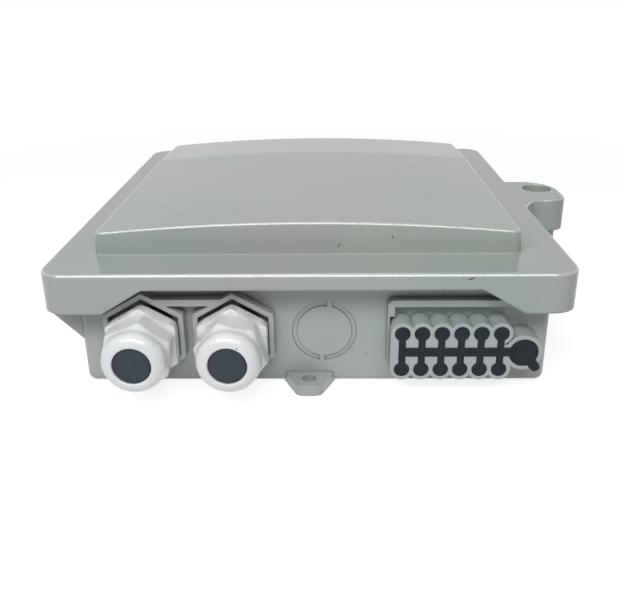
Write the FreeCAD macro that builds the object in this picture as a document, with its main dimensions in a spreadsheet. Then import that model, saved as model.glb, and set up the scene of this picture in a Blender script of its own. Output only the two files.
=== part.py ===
import FreeCAD, Part
import math
import os
import Sketcher

# Fibre distribution box, in millimetres.
# X runs across the lid (hinge on -X, lock on +X), Y along the box with the cable entries on -Y,
# Z out of the wall. The origin lies on the back plane, under the middle of the lid.

SIZES = {
    # lid shell
    "lid_width": 245.0,
    "lid_length": 265.0,
    "lid_corner": 12.0,
    "lid_wall": 2.5,
    "rim_top": 60.5,
    "skirt_bottom": 41.3,
    "rim_edge_round": 1.8,
    "panel_width": 200.8,
    "panel_shift": -0.8,
    "panel_draft": 1.4,
    "panel_front_margin": 26.4,
    "panel_back_margin": 24.7,
    "panel_end_height": 71.6,
    "panel_crown": 4.8,
    "panel_corner": 3.6,
    "panel_edge_round": 1.3,
    "panel_crease": 47.5,
    "panel_back_drop": 2.4,
    "recess_width": 196.0,
    "recess_depth": 0.5,
    "recess_margin": 6.5,
    "notch_top": 52.8,
    "notch_left_top": -75.0,
    "notch_right_top": 78.5,
    "notch_left_foot": -94.0,
    "notch_right_foot": 98.0,
    # base shell
    "base_left": -109.0,
    "base_right": 113.5,
    "base_depth": 240.2,
    "base_top": 55.5,
    "base_wall": 2.5,
    "base_corner": 5.0,
    "base_edge_round": 3.5,
    # seal between lid and base
    "gasket_width": 4.0,
    "gasket_corner": 2.0,
    "seal_gap": 0.3,
    "outer_rib_reach": 2.5,
    "inner_rib_height": 1.6,
    "inner_rib_gap": 0.1,
    "rib_thickness": 1.5,
    "rib_gap": 0.6,
    # hinge
    "hinge_x": -117.5,
    "hinge_z": 37.0,
    "barrel_radius": 4.5,
    "hinge_pin_radius": 1.5,
    "bore_gap": 0.05,
    "hinge_inset": 21.1,
    "hinge_span": 36.0,
    "lid_knuckle": 15.4,
    "arm_foot_drop": 16.0,
    "arm_top_rise": 2.5,
    "running_gap": 0.3,
    "web_rise": 5.0,
    "web_inset": 0.5,
    "web_reach": 3.0,
    "web_thickness": 3.2,
    # lock lug
    "lug_end": 150.0,
    "lug_back": 30.8,
    "lug_front": -12.0,
    "lug_root_front": -26.0,
    "lug_back_round": 21.0,
    "lug_front_round": 10.0,
    "lug_root_x": 129.5,
    "lug_root_round": 9.0,
    "base_lug_inset": 3.9,
    "base_lug_height": 9.0,
    "lock_x": 137.3,
    "lock_y": 13.0,
    "lock_cup_radius": 8.8,
    "lock_cup_depth": 11.5,
    "lock_head_radius": 8.4,
    "lock_head_height": 4.0,
    "lock_socket": 5.0,
    "lock_socket_floor": 1.2,
    "lock_shank_radius": 3.5,
    "lock_pin_radius": 1.5,
    "lock_pin_length": 15.0,
    "lock_tail": 5.5,
    "slot_gap": 0.7,
    # mounting ears
    "ear_root_width": 24.4,
    "ear_tip_width": 11.0,
    "ear_reach": 14.2,
    "ear_thickness": 5.2,
    "ear_tip_round": 4.2,
    "ear_hole_radius": 3.4,
    "ear_hole_reach": 6.5,
    # cable glands
    "gland_left_x": -77.0,
    "gland_right_x": -35.0,
    "gland_z": 25.6,
    "gland_flat": 32.2,
    "gland_thread_radius": 12.4,
    "gland_bore_radius": 8.4,
    "gland_hole_gap": 0.2,
    "thread_gap": 0.1,
    "thread_length": 6.0,
    "spigot_tip": 1.5,
    "collet_foot": 2.2,
    "collet_taper": 2.0,
    "collet_tip": 1.6,
    "collet_length": 9.0,
    "gland_washer": 6.4,
    "gland_flange": 7.3,
    "gland_cap_length": 19.5,
    "gland_cap_flat": 29.6,
    "gland_cap_radius": 14.6,
    "gland_cap_hex": 10.5,
    "cap_hex_fade": 4.5,
    "cap_thread_length": 7.0,
    "cap_nose_length": 6.0,
    "cap_mouth_step": 0.5,
    "gland_nose_round": 5.0,
    "gland_nut": 5.0,
    "nut_inset": 1.0,
    "washer_inset": 1.2,
    "sleeve_start": 1.0,
    "sleeve_fit": 0.05,
    "sleeve_wall": 2.35,
    "plug_head": 6.0,
    "plug_inset": 0.5,
    "plug_dish": 0.2,
    "gland_left_turn": -8.0,
    "gland_right_turn": 17.0,
    # hexagonal collars round the glands
    "collar_rise": 1.6,
    "collar_gap": 0.4,
    "collar_wall": 2.25,
    "collar_height": 6.0,
    "collar_tie_top": 45.7,
    "collar_tie_height": 3.2,
    # knock-out
    "knockout_x": 7.3,
    "knockout_z": 27.0,
    "knockout_radius": 15.4,
    "knockout_groove": 2.6,
    "knockout_depth": 0.8,
    "knockout_bridge": 2.2,
    "knockout_overlap": 0.5,
    "knockout_top_shift": 2.4,
    "knockout_low_shift": -1.2,
    # drop-port block
    "port_first_x": 43.1,
    "port_pitch": 9.0,
    "port_top_z": 31.0,
    "port_bottom_z": 12.9,
    "port_tube_radius": 5.3,
    "port_bore_radius": 3.6,
    "port_reach": 12.0,
    "big_port_x": 98.9,
    "big_port_z": 21.4,
    "big_tube_radius": 8.6,
    "big_bore_radius": 6.8,
    "port_web_reach": 2.0,
    "port_web_half": 4.0,
    "seal_depth": 5.0,
    "seal_pin_length": 11.0,
    "seal_fit": 0.05,
    "seal_proud": 0.4,
    "seal_back_gap": 0.2,
    "stem_width": 3.2,
    "spine_z": 21.8,
    "spine_height": 4.5,
    "tail_width": 4.6,
    "tail_reach": 11.6,
    "tail_angle": -52.0,
    "frame_left": 36.8,
    "frame_right": 107.0,
    "frame_top": 44.4,
    "frame_wall": 3.2,
    "frame_height": 4.5,
    "frame_round": 3.0,
    # inner bosses
    "boss_radius": 4.0,
    "boss_hole_radius": 1.3,
    "boss_edge": 1.0,
    "screw_hole_gap": 0.15,
    # adapter panel and adapters
    "panel_y": -50.0,
    "adapter_pitch": 14.5,
    "adapter_width": 9.4,
    "adapter_height": 13.0,
    "adapter_length": 27.5,
    "adapter_flange": 1.6,
    "adapter_flange_lip": 1.4,
    "adapter_wall": 1.1,
    "adapter_z": 24.0,
    "adapter_fit": 0.1,
    "adapter_core": 2.0,
    "key_half": 1.6,
    "key_length": 6.0,
    "key_under": 0.5,
    "sleeve_inset": 3.0,
    "sleeve_radius": 1.9,
    "sleeve_bore": 1.25,
    "cap_handle": 6.0,
    "cap_handle_width": 1.8,
    "cap_insert": 2.6,
    "cap_brim": 3.0,
    "cap_gap": 0.2,
    "bracket_thickness": 1.5,
    "bracket_height": 36.0,
    "bracket_foot": 14.0,
    "bracket_side": 8.0,
    "bracket_bend": 2.0,
    "bracket_boss_height": 6.5,
    # splice tray
    "tray_x": 0.0,
    "tray_y": 42.0,
    "tray_width": 196.0,
    "tray_length": 122.0,
    "tray_height": 11.0,
    "tray_wall": 1.6,
    "tray_corner": 26.0,
    "tray_bottom": 22.0,
    "tray_screw_x": 84.0,
    "tray_screw_y": 47.0,
    "ring_radius": 30.0,
    "ring_wall": 1.4,
    "ring_spread": 52.0,
    "ring_gate_half": 6.0,
    "tray_gate_half": 7.0,
    "cover_thickness": 1.5,
    "holder_width": 42.0,
    "holder_length": 40.0,
    "holder_height": 7.0,
    "holder_groove": 2.6,
    "holder_rows": 6.0,
    "holder_base": 2.0,
    "holder_lane_half": 4.0,
    # screws
    "screw_radius": 1.2,
    "screw_head_radius": 2.9,
    "screw_head_height": 2.0,
    "screw_length": 9.0,
    "short_screw_length": 5.0,
    "screw_tip_gap": 0.6,
    "cross_reach": 1.6,
    "cross_half": 0.35,
    "cross_depth": 1.0,
    # cable clamps
    "clamp_y": -86.0,
    "clamp_spread": 14.0,
    "clamp_width": 10.0,
    "clamp_thickness": 2.4,
    "clamp_arch": 8.0,
    "strap_margin": 1.0,
    "clamp_boss_height": 26.0,
    "saddle_height": 17.5,
    "saddle_wall": 2.5,
    # fibre guides
    "guide_x": 96.0,
    "guide_y": -80.0,
    "guide_step": 20.0,
    "guide_radius": 6.0,
    "guide_wall": 1.6,
    "guide_width": 8.0,
    "guide_gap": 4.5,
}

ADAPTER_COUNT = 12
PORT_COLUMNS = 6
GUIDE_ROWS = 2
# cutting solids reach this far past what they cut
OVER = 1.0
# two coordinates this close count as one
NEAR = 0.01
# the arm's underside leaves the barrel here, in shares of its radius
ARM_FOOT_X = 0.6
ARM_FOOT_Z = 0.8
UP = FreeCAD.Vector(0, 0, 1)


class Size:
    """A number with the sheet expression that gives it, so that arithmetic binds a size."""

    def __init__(self, value, text):
        self.value = float(value)
        self.text = text

    def __add__(self, other):
        other = as_size(other)
        return Size(self.value + other.value, f"({self.text} + {other.text})")

    def __radd__(self, other):
        return as_size(other) + self

    def __sub__(self, other):
        other = as_size(other)
        return Size(self.value - other.value, f"({self.text} - {other.text})")

    def __rsub__(self, other):
        return as_size(other) - self

    def __mul__(self, other):
        other = as_size(other)
        return Size(self.value * other.value, f"({self.text} * {other.text})")

    def __rmul__(self, other):
        return as_size(other) * self

    def __truediv__(self, other):
        other = as_size(other)
        return Size(self.value / other.value, f"({self.text} / {other.text})")

    def __neg__(self):
        return Size(-self.value, f"(-1 * {self.text})")


def as_size(number):
    """A plain number as a Size."""
    if isinstance(number, Size):
        return number
    return Size(number, f"({float(number):.6f})")


class Sheet:
    """The sizes of the box, each read as an attribute by its alias."""

    def __init__(self, document, sizes):
        self.cells = dict(sizes)
        sheet = document.addObject("Spreadsheet::Sheet", "Sizes")
        for row, (alias, value) in enumerate(sizes.items(), start=1):
            sheet.set(f"A{row}", alias)
            sheet.set(f"B{row}", f"{value}")
            sheet.setAlias(f"B{row}", alias)

    def __getattr__(self, alias):
        return Size(self.cells[alias], f"Sizes.{alias}")


doc = FreeCAD.newDocument("fibre_distribution_box")
S = Sheet(doc, SIZES)
doc.recompute()
nodes = []


def keep(obj, label):
    """Name a finished sub-part and remember it for the export."""
    obj.Label = label
    nodes.append(obj)
    return obj


def bind(obj, prop, size):
    """Tie a property to the sheet."""
    obj.setExpression(prop, as_size(size).text)


def place(obj, x, y, z, turn=None):
    """Place an object at sheet-driven coordinates, with a fixed turn if it has one."""
    x, y, z = as_size(x), as_size(y), as_size(z)
    rotation = turn if turn is not None else FreeCAD.Rotation()
    obj.Placement = FreeCAD.Placement(FreeCAD.Vector(x.value, y.value, z.value), rotation)
    bind(obj, "Placement.Base.x", x)
    bind(obj, "Placement.Base.y", y)
    bind(obj, "Placement.Base.z", z)
    return obj


# primitives and booleans


def box(x0, x1, y0, y1, z0, z1):
    """A block between sheet-driven faces."""
    x0, x1, y0, y1, z0, z1 = (as_size(v) for v in (x0, x1, y0, y1, z0, z1))
    obj = doc.addObject("Part::Box", "Block")
    bind(obj, "Length", x1 - x0)
    bind(obj, "Width", y1 - y0)
    bind(obj, "Height", z1 - z0)
    return place(obj, x0, y0, z0)


def rod(x, y, z, radius, length, axis=UP):
    """A cylinder that starts at a point and runs along an axis."""
    obj = doc.addObject("Part::Cylinder", "Rod")
    bind(obj, "Radius", radius)
    bind(obj, "Height", length)
    return place(obj, x, y, z, FreeCAD.Rotation(UP, axis))


def joined(*shapes):
    """The union of several objects."""
    if len(shapes) == 1:
        return shapes[0]
    obj = doc.addObject("Part::MultiFuse", "Union")
    obj.Shapes = list(shapes)
    obj.Refine = True
    return obj


def carved(base, *tools):
    """An object with the tools cut out of it."""
    obj = doc.addObject("Part::Cut", "Carved")
    obj.Base = base
    obj.Tool = joined(*tools)
    return obj


def group(*solids):
    """Separate identical solids in one object."""
    obj = doc.addObject("Part::Compound", "Group")
    obj.Links = list(solids)
    return obj


# sketches and features


def new_body(label):
    """A body whose label names its file."""
    return keep(doc.addObject("PartDesign::Body", label), label)


def sketch_on(body, role, offset=0.0):
    """A sketch on an origin plane of its own body, moved along the plane's normal.

    The normal of XZ_Plane points along -Y and that of YZ_Plane along +X.
    """
    plane = [o for o in body.Origin.OriginFeatures if o.Role == role][0]
    sketch = body.newObject("Sketcher::SketchObject", "Sketch")
    sketch.AttachmentSupport = [(plane, "")]
    sketch.MapMode = "FlatFace"
    bind(sketch, "AttachmentOffset.Base.z", offset)
    return sketch


def constrain(sketch, kind, *what, size=None):
    """Add one constraint, tied to the sheet when it has a size."""
    if size is None:
        sketch.addConstraint(Sketcher.Constraint(kind, *what))
        return
    index = sketch.addConstraint(Sketcher.Constraint(kind, *what, size.value))
    bind(sketch, f"Constraints[{index}]", size)


def pin_point(sketch, geometry, vertex, x, y):
    """Hold a sketch point at sheet-driven coordinates."""
    constrain(sketch, "DistanceX", -1, 1, geometry, vertex, size=as_size(x))
    constrain(sketch, "DistanceY", -1, 1, geometry, vertex, size=as_size(y))


def ring(sketch, x, y, radius):
    """A circle in a sketch."""
    x, y, radius = as_size(x), as_size(y), as_size(radius)
    centre = FreeCAD.Vector(x.value, y.value, 0)
    index = sketch.addGeometry(Part.Circle(centre, UP, radius.value), False)
    pin_point(sketch, index, 3, x, y)
    constrain(sketch, "Radius", index, size=radius)


def rounded_corner(before, corner, after, radius):
    """Tangent points and arc of a rounded corner, and which end of the arc comes first."""
    into = (before - corner).normalize()
    away = (after - corner).normalize()
    half_angle = into.getAngle(away) / 2
    reach = radius / math.tan(half_angle)
    start = corner + into * reach
    end = corner + away * reach
    middle_way = (into + away).normalize()
    centre = corner + middle_way * (radius / math.sin(half_angle))
    middle = centre - middle_way * radius
    left_turn = (middle - start).cross(end - middle).z > 0
    arc = Part.Arc(start, middle, end) if left_turn else Part.Arc(end, middle, start)
    return start, end, arc, 1 if left_turn else 2


def outline(sketch, corners):
    """A closed outline of straight runs; a corner is (x, y) or (x, y, radius)."""
    corners = [tuple(as_size(v) for v in corner) for corner in corners]
    spots = [FreeCAD.Vector(c[0].value, c[1].value, 0) for c in corners]
    count = len(corners)
    starts, ends, arcs, firsts = [], [], [], []
    for i, corner in enumerate(corners):
        start, end, arc, first = spots[i], spots[i], None, 1
        if len(corner) == 3:
            around = (spots[i - 1], spots[i], spots[(i + 1) % count])
            start, end, arc, first = rounded_corner(*around, corner[2].value)
        starts.append(start)
        ends.append(end)
        arcs.append(arc)
        firsts.append(first)
    lines = []
    for i in range(count):
        line = Part.LineSegment(ends[i], starts[(i + 1) % count])
        lines.append(sketch.addGeometry(line, False))
    for i, corner in enumerate(corners):
        come, leave = lines[i - 1], lines[i]
        if arcs[i] is None:
            constrain(sketch, "Coincident", come, 2, leave, 1)
            pin_point(sketch, leave, 1, corner[0], corner[1])
            continue
        arc = sketch.addGeometry(arcs[i], False)
        constrain(sketch, "Tangent", come, 2, arc, firsts[i])
        constrain(sketch, "Tangent", leave, 1, arc, 3 - firsts[i])
        constrain(sketch, "Radius", arc, size=corner[2])
        spot = sketch.addGeometry(Part.Point(spots[i]), True)
        pin_point(sketch, spot, 1, corner[0], corner[1])
        constrain(sketch, "PointOnObject", spot, 1, come)
        constrain(sketch, "PointOnObject", spot, 1, leave)


def oblong(sketch, x0, x1, y0, y1, radius=None):
    """A rectangle in a sketch, with rounded corners if a radius is given."""
    corners = [(x0, y0), (x1, y0), (x1, y1), (x0, y1)]
    if radius is not None:
        corners = [corner + (radius,) for corner in corners]
    outline(sketch, corners)


def hexagon(sketch, x, y, flat):
    """A hexagon with two vertices on its vertical axis, by its width across flats."""
    x, y, flat = as_size(x), as_size(y), as_size(flat)
    side = flat / math.sqrt(3)
    outline(sketch, [(x, y + side), (x - flat / 2, y + side / 2), (x - flat / 2, y - side / 2),
                     (x, y - side), (x + flat / 2, y - side / 2), (x + flat / 2, y + side / 2)])


def feature(body, kind, sketch, **settings):
    """Add a sketch-based feature and check that it changed the solid."""
    before = body.Shape.Volume if body.Tip is not None else 0.0
    obj = body.newObject(kind, kind.split("::")[1])
    obj.Profile = sketch
    for prop, value in settings.items():
        if isinstance(value, Size):
            bind(obj, prop, value)
        else:
            setattr(obj, prop, value)
    body.Tip = obj
    doc.recompute()
    if abs(body.Shape.Volume - before) < 1e-6:
        raise ValueError(f"{obj.Label} in {body.Label} changes nothing")
    return obj


def pad(body, sketch, length, flip=False):
    """Add material on the side that the sketch's normal points to, or the other if flipped."""
    return feature(body, "PartDesign::Pad", sketch, Length=as_size(length), Reversed=flip)


def pocket(body, sketch, depth, flip=False):
    """Cut away from the sketch's normal, or along it if flipped."""
    return feature(body, "PartDesign::Pocket", sketch, Length=as_size(depth), Reversed=flip)


def turned(body, sketch):
    """Revolve a sketch about its own vertical axis."""
    return feature(body, "PartDesign::Revolution", sketch, ReferenceAxis=(sketch, ["V_Axis"]))


def edges_where(shape, test):
    """Names of the edges whose ends and middle all pass a test."""
    names = []
    for number, edge in enumerate(shape.Edges, start=1):
        first, last = edge.ParameterRange
        points = [edge.valueAt(t) for t in (first, (first + last) / 2, last)]
        if all(test(point) for point in points):
            names.append(f"Edge{number}")
    return names


def rounded(body, radius, test):
    """Fillet the edges of the last feature that pass a test."""
    base = body.Tip
    obj = body.newObject("PartDesign::Fillet", "Fillet")
    obj.Base = (base, edges_where(base.Shape, test))
    bind(obj, "Radius", radius)
    body.Tip = obj
    doc.recompute()
    return obj


def near(value, size):
    """Whether a coordinate lies at a size."""
    return abs(value - as_size(size).value) < NEAR


# shared places
wall_y = S.base_depth / 2
lid_y = S.lid_length / 2
gasket_bottom = S.base_top + S.seal_gap
plate_under = S.rim_top - S.lid_wall
hinge_sides = (-1, 1)
hinge_place = wall_y - S.hinge_inset
panel_front = lid_y - S.panel_front_margin
panel_back = lid_y - S.panel_back_margin
collar_flat = S.gland_flat + 2 * (S.collar_gap + S.collar_wall)
collar_z = S.gland_z + S.collar_rise
gland_places = (("left", S.gland_left_x, S.gland_left_turn), ("right", S.gland_right_x, S.gland_right_turn))
port_rows = (S.port_top_z, S.port_bottom_z)
lug_top = S.skirt_bottom - S.running_gap
cup_floor = S.rim_top - S.lock_cup_depth


def port_x(column):
    """The middle of a port column."""
    return S.port_first_x + S.port_pitch * column


def adapter_x(number):
    """The middle of an adapter."""
    return S.adapter_pitch * (number - (ADAPTER_COUNT - 1) / 2)


def lug_outline(sketch, inset, root):
    """Plan of the lock lug, drawn in by an inset and run back to a root inside the shell."""
    end, back, front = S.lug_end - inset, S.lug_back - inset, S.lug_front + inset
    outline(sketch, [
        (root, back),
        (root, S.lug_root_front + inset),
        (S.lid_width / 2, S.lug_root_front + inset),
        (S.lug_root_x, front, S.lug_root_round),
        (end, front, S.lug_front_round - inset),
        (end, back, S.lug_back_round - inset),
    ])


def tray_screw_places():
    """Plan places of the tray's four screws."""
    return [(S.tray_x + S.tray_screw_x * side, S.tray_y + S.tray_screw_y * end)
            for side in (-1, 1) for end in (-1, 1)]


def bracket_screw_places():
    """Plan places of the adapter bracket's two screws."""
    return [(bracket_screw_x * side, bracket_screw_y) for side in (-1, 1)]


def clamp_screw_places():
    """Plan places of the cable clamps' four screws."""
    return [(x + S.clamp_spread * side, S.clamp_y) for _, x, _ in gland_places for side in (-1, 1)]


bracket_half = S.adapter_pitch * ADAPTER_COUNT / 2 + S.bracket_side
bracket_screw_x = bracket_half - S.boss_radius - S.boss_edge
bracket_screw_y = S.panel_y + S.bracket_thickness + S.bracket_foot / 2


def make_base_shell():
    """The open box with collars, knock-out, port frame, ears, hinge arms, lock lug and bosses."""
    body = new_body("base_shell")
    plan = sketch_on(body, "XY_Plane")
    oblong(plan, S.base_left, S.base_right, -wall_y, wall_y, S.base_corner)
    pad(body, plan, S.base_top)
    rounded(body, S.base_edge_round, lambda p: near(p.z, 0))
    # mounting ears at the two ends
    ears = sketch_on(body, "XY_Plane")
    for side in (-1, 1):
        tip = (wall_y + S.ear_reach) * side
        root = (wall_y - S.base_wall / 2) * side
        outline(ears, [(-S.ear_root_width / 2, root), (S.ear_root_width / 2, root),
                       (S.ear_tip_width / 2, tip, S.ear_tip_round),
                       (-S.ear_tip_width / 2, tip, S.ear_tip_round)])
    pad(body, ears, S.ear_thickness)
    # lock lug under the lid's lug
    lug = sketch_on(body, "XY_Plane", lug_top)
    lug_outline(lug, S.base_lug_inset, S.base_right - S.base_wall / 2)
    pad(body, lug, S.base_lug_height, flip=True)
    # hinge arms with their barrel ends, and the gap for the lid's knuckle between them
    for side in hinge_sides:
        front = S.hinge_span / 2 - hinge_place * side
        arm = sketch_on(body, "XZ_Plane", front)
        inside = S.base_left + S.base_wall / 2
        outline(arm, [(inside, S.hinge_z - S.arm_foot_drop), (inside, S.hinge_z + S.arm_top_rise),
                      (S.hinge_x, S.hinge_z + S.barrel_radius),
                      (S.hinge_x - S.barrel_radius * ARM_FOOT_X, S.hinge_z - S.barrel_radius * ARM_FOOT_Z)])
        pad(body, arm, S.hinge_span, flip=True)
        barrel = sketch_on(body, "XZ_Plane", front)
        ring(barrel, S.hinge_x, S.hinge_z, S.barrel_radius)
        pad(body, barrel, S.hinge_span, flip=True)
        gap_half = S.lid_knuckle / 2 + S.running_gap
        gap = sketch_on(body, "XZ_Plane", gap_half - hinge_place * side)
        oblong(gap, S.hinge_x - S.barrel_radius - OVER, S.base_left, S.hinge_z - S.arm_foot_drop - OVER,
               S.hinge_z + S.barrel_radius + OVER)
        pocket(body, gap, gap_half * 2)
    # hollow of the box
    hollow = sketch_on(body, "XY_Plane", S.base_top)
    oblong(hollow, S.base_left + S.base_wall, S.base_right - S.base_wall,
           S.base_wall - wall_y, wall_y - S.base_wall, S.base_corner - S.base_wall)
    pocket(body, hollow, S.base_top - S.base_wall)
    # collars, tie and frame on the entry wall
    collars = sketch_on(body, "XZ_Plane", wall_y)
    for _, x, _ in gland_places:
        hexagon(collars, x, collar_z, collar_flat)
        hexagon(collars, x, collar_z, collar_flat - 2 * S.collar_wall)
    pad(body, collars, S.collar_height)
    tie = sketch_on(body, "XZ_Plane", wall_y)
    tie_ends = []
    for z in (S.collar_tie_top - S.collar_tie_height, S.collar_tie_top):
        sunk = (collar_z + collar_flat / math.sqrt(3) - z) * math.sqrt(3) - S.collar_wall
        tie_ends.append((sunk, z))
    (low_in, low_z), (high_in, high_z) = tie_ends
    outline(tie, [(S.gland_left_x + low_in, low_z), (S.gland_right_x - low_in, low_z),
                  (S.gland_right_x - high_in, high_z), (S.gland_left_x + high_in, high_z)])
    pad(body, tie, S.collar_height)
    frame = sketch_on(body, "XZ_Plane", wall_y)
    foot = S.port_top_z + S.port_tube_radius
    block_left = S.port_first_x - S.port_tube_radius - S.seal_fit
    outline(frame, [(S.frame_left, S.port_bottom_z), (block_left, S.port_bottom_z),
                    (block_left, foot), (S.frame_left + S.frame_wall, foot),
                    (S.frame_left + S.frame_wall, S.frame_top - S.frame_wall),
                    (S.frame_right, S.frame_top - S.frame_wall), (S.frame_right, S.frame_top),
                    (S.frame_left, S.frame_top, S.frame_round)])
    pad(body, frame, S.frame_height)
    # openings of the glands and ports
    holes = sketch_on(body, "XZ_Plane", wall_y)
    for _, x, _ in gland_places:
        ring(holes, x, S.gland_z, S.gland_thread_radius + S.gland_hole_gap)
    for column in range(PORT_COLUMNS):
        for z in port_rows:
            ring(holes, port_x(column), z, S.port_bore_radius)
    ring(holes, S.big_port_x, S.big_port_z, S.big_bore_radius)
    pocket(body, holes, S.base_wall)
    # knock-out groove with its two bridges
    groove = sketch_on(body, "XZ_Plane", wall_y)
    ring(groove, S.knockout_x, S.knockout_z, S.knockout_radius)
    ring(groove, S.knockout_x, S.knockout_z, S.knockout_radius - S.knockout_groove)
    pocket(body, groove, S.knockout_depth)
    bridges = sketch_on(body, "XZ_Plane", wall_y)
    for side, shift in ((1, S.knockout_top_shift), (-1, S.knockout_low_shift)):
        low = S.knockout_z + (S.knockout_radius - S.knockout_groove - S.knockout_overlap) * side
        high = S.knockout_z + (S.knockout_radius + S.knockout_overlap) * side
        left = S.knockout_x + shift - S.knockout_bridge / 2
        bottom, top = (low, high) if side > 0 else (high, low)
        oblong(bridges, left, left + S.knockout_bridge, bottom, top)
    pad(body, bridges, S.knockout_depth, flip=True)
    # screw holes of the ears, hinge bores, slot for the lock's cross pin
    ear_holes = sketch_on(body, "XY_Plane")
    for side in (-1, 1):
        ring(ear_holes, 0.0, (wall_y + S.ear_hole_reach) * side, S.ear_hole_radius)
    pocket(body, ear_holes, S.ear_thickness, flip=True)
    for side in hinge_sides:
        bore = sketch_on(body, "XZ_Plane", hinge_place * side + S.hinge_span / 2)
        ring(bore, S.hinge_x, S.hinge_z, S.hinge_pin_radius + S.bore_gap)
        pocket(body, bore, S.hinge_span)
    slot = sketch_on(body, "XY_Plane", lug_top)
    slot_half = S.lock_pin_radius + S.slot_gap
    slot_end = S.lock_pin_length / 2 + S.slot_gap
    oblong(slot, S.lock_x - slot_half, S.lock_x + slot_half, S.lock_y - slot_end, S.lock_y + slot_end)
    pocket(body, slot, S.base_lug_height)
    shank = sketch_on(body, "XY_Plane", lug_top)
    ring(shank, S.lock_x, S.lock_y, S.lock_shank_radius + S.slot_gap)
    pocket(body, shank, S.base_lug_height)
    # bosses and cable saddles on the floor
    seats = ((tray_screw_places(), S.tray_bottom, S.screw_length),
             (bracket_screw_places(), S.bracket_boss_height, S.short_screw_length),
             (clamp_screw_places(), S.clamp_boss_height, S.screw_length))
    for places, height, _ in seats:
        bosses = sketch_on(body, "XY_Plane", S.base_wall)
        for x, y in places:
            ring(bosses, x, y, S.boss_radius)
        pad(body, bosses, height - S.base_wall)
    saddles = sketch_on(body, "XY_Plane", S.base_wall)
    for _, x, _ in gland_places:
        reach = S.clamp_spread - S.boss_radius / 2
        oblong(saddles, x - reach, x + reach, S.clamp_y - S.saddle_wall / 2, S.clamp_y + S.saddle_wall / 2)
    pad(body, saddles, S.saddle_height - S.base_wall)
    for places, height, depth in seats:
        holes = sketch_on(body, "XY_Plane", height)
        for x, y in places:
            ring(holes, x, y, S.boss_hole_radius)
        pocket(body, holes, depth)
    return body


def panel_profile(sketch, half, foot, end):
    """Front view of the raised panel: drafted sides under a shallow arc."""
    middle, crown = S.panel_shift, S.panel_crown
    left_x, right_x = middle - half, middle + half
    left_foot, right_foot = left_x - S.panel_draft, right_x + S.panel_draft
    top_left = FreeCAD.Vector(left_x.value, end.value, 0)
    top_right = FreeCAD.Vector(right_x.value, end.value, 0)
    low_left = FreeCAD.Vector(left_foot.value, foot.value, 0)
    low_right = FreeCAD.Vector(right_foot.value, foot.value, 0)
    crest = FreeCAD.Vector(middle.value, (end + crown).value, 0)
    runs = [Part.LineSegment(top_left, low_left), Part.LineSegment(low_left, low_right),
            Part.LineSegment(low_right, top_right)]
    left, floor, right = (sketch.addGeometry(run, False) for run in runs)
    top = sketch.addGeometry(Part.Arc(top_right, crest, top_left), False)
    pin_point(sketch, left, 1, left_x, end)
    pin_point(sketch, left, 2, left_foot, foot)
    pin_point(sketch, floor, 2, right_foot, foot)
    pin_point(sketch, right, 2, right_x, end)
    constrain(sketch, "Coincident", left, 2, floor, 1)
    constrain(sketch, "Coincident", floor, 2, right, 1)
    constrain(sketch, "Coincident", right, 2, top, 1)
    constrain(sketch, "Coincident", left, 1, top, 2)
    radius = (half * half + crown * crown) / (crown * 2)
    constrain(sketch, "Radius", top, size=radius)


def panel_mass(body, inset, foot, cut):
    """The raised panel, or its hollow when an inset is given: a run and a gently falling rear."""
    half = S.panel_width / 2 - inset
    end = S.panel_end_height - inset
    front = panel_front - inset
    back = inset - panel_back
    run_sketch = sketch_on(body, "XZ_Plane", front)
    panel_profile(run_sketch, half, foot, end)
    length = front + S.panel_crease
    if cut:
        pocket(body, run_sketch, length)
    else:
        pad(body, run_sketch, length, flip=True)
    near_sketch = sketch_on(body, "XZ_Plane", -S.panel_crease)
    panel_profile(near_sketch, half, foot, end)
    far_sketch = sketch_on(body, "XZ_Plane", back)
    panel_profile(far_sketch, half, foot, end - S.panel_back_drop)
    kind = "PartDesign::SubtractiveLoft" if cut else "PartDesign::AdditiveLoft"
    feature(body, kind, near_sketch, Sections=[(far_sketch, [""])], Ruled=True)


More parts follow.
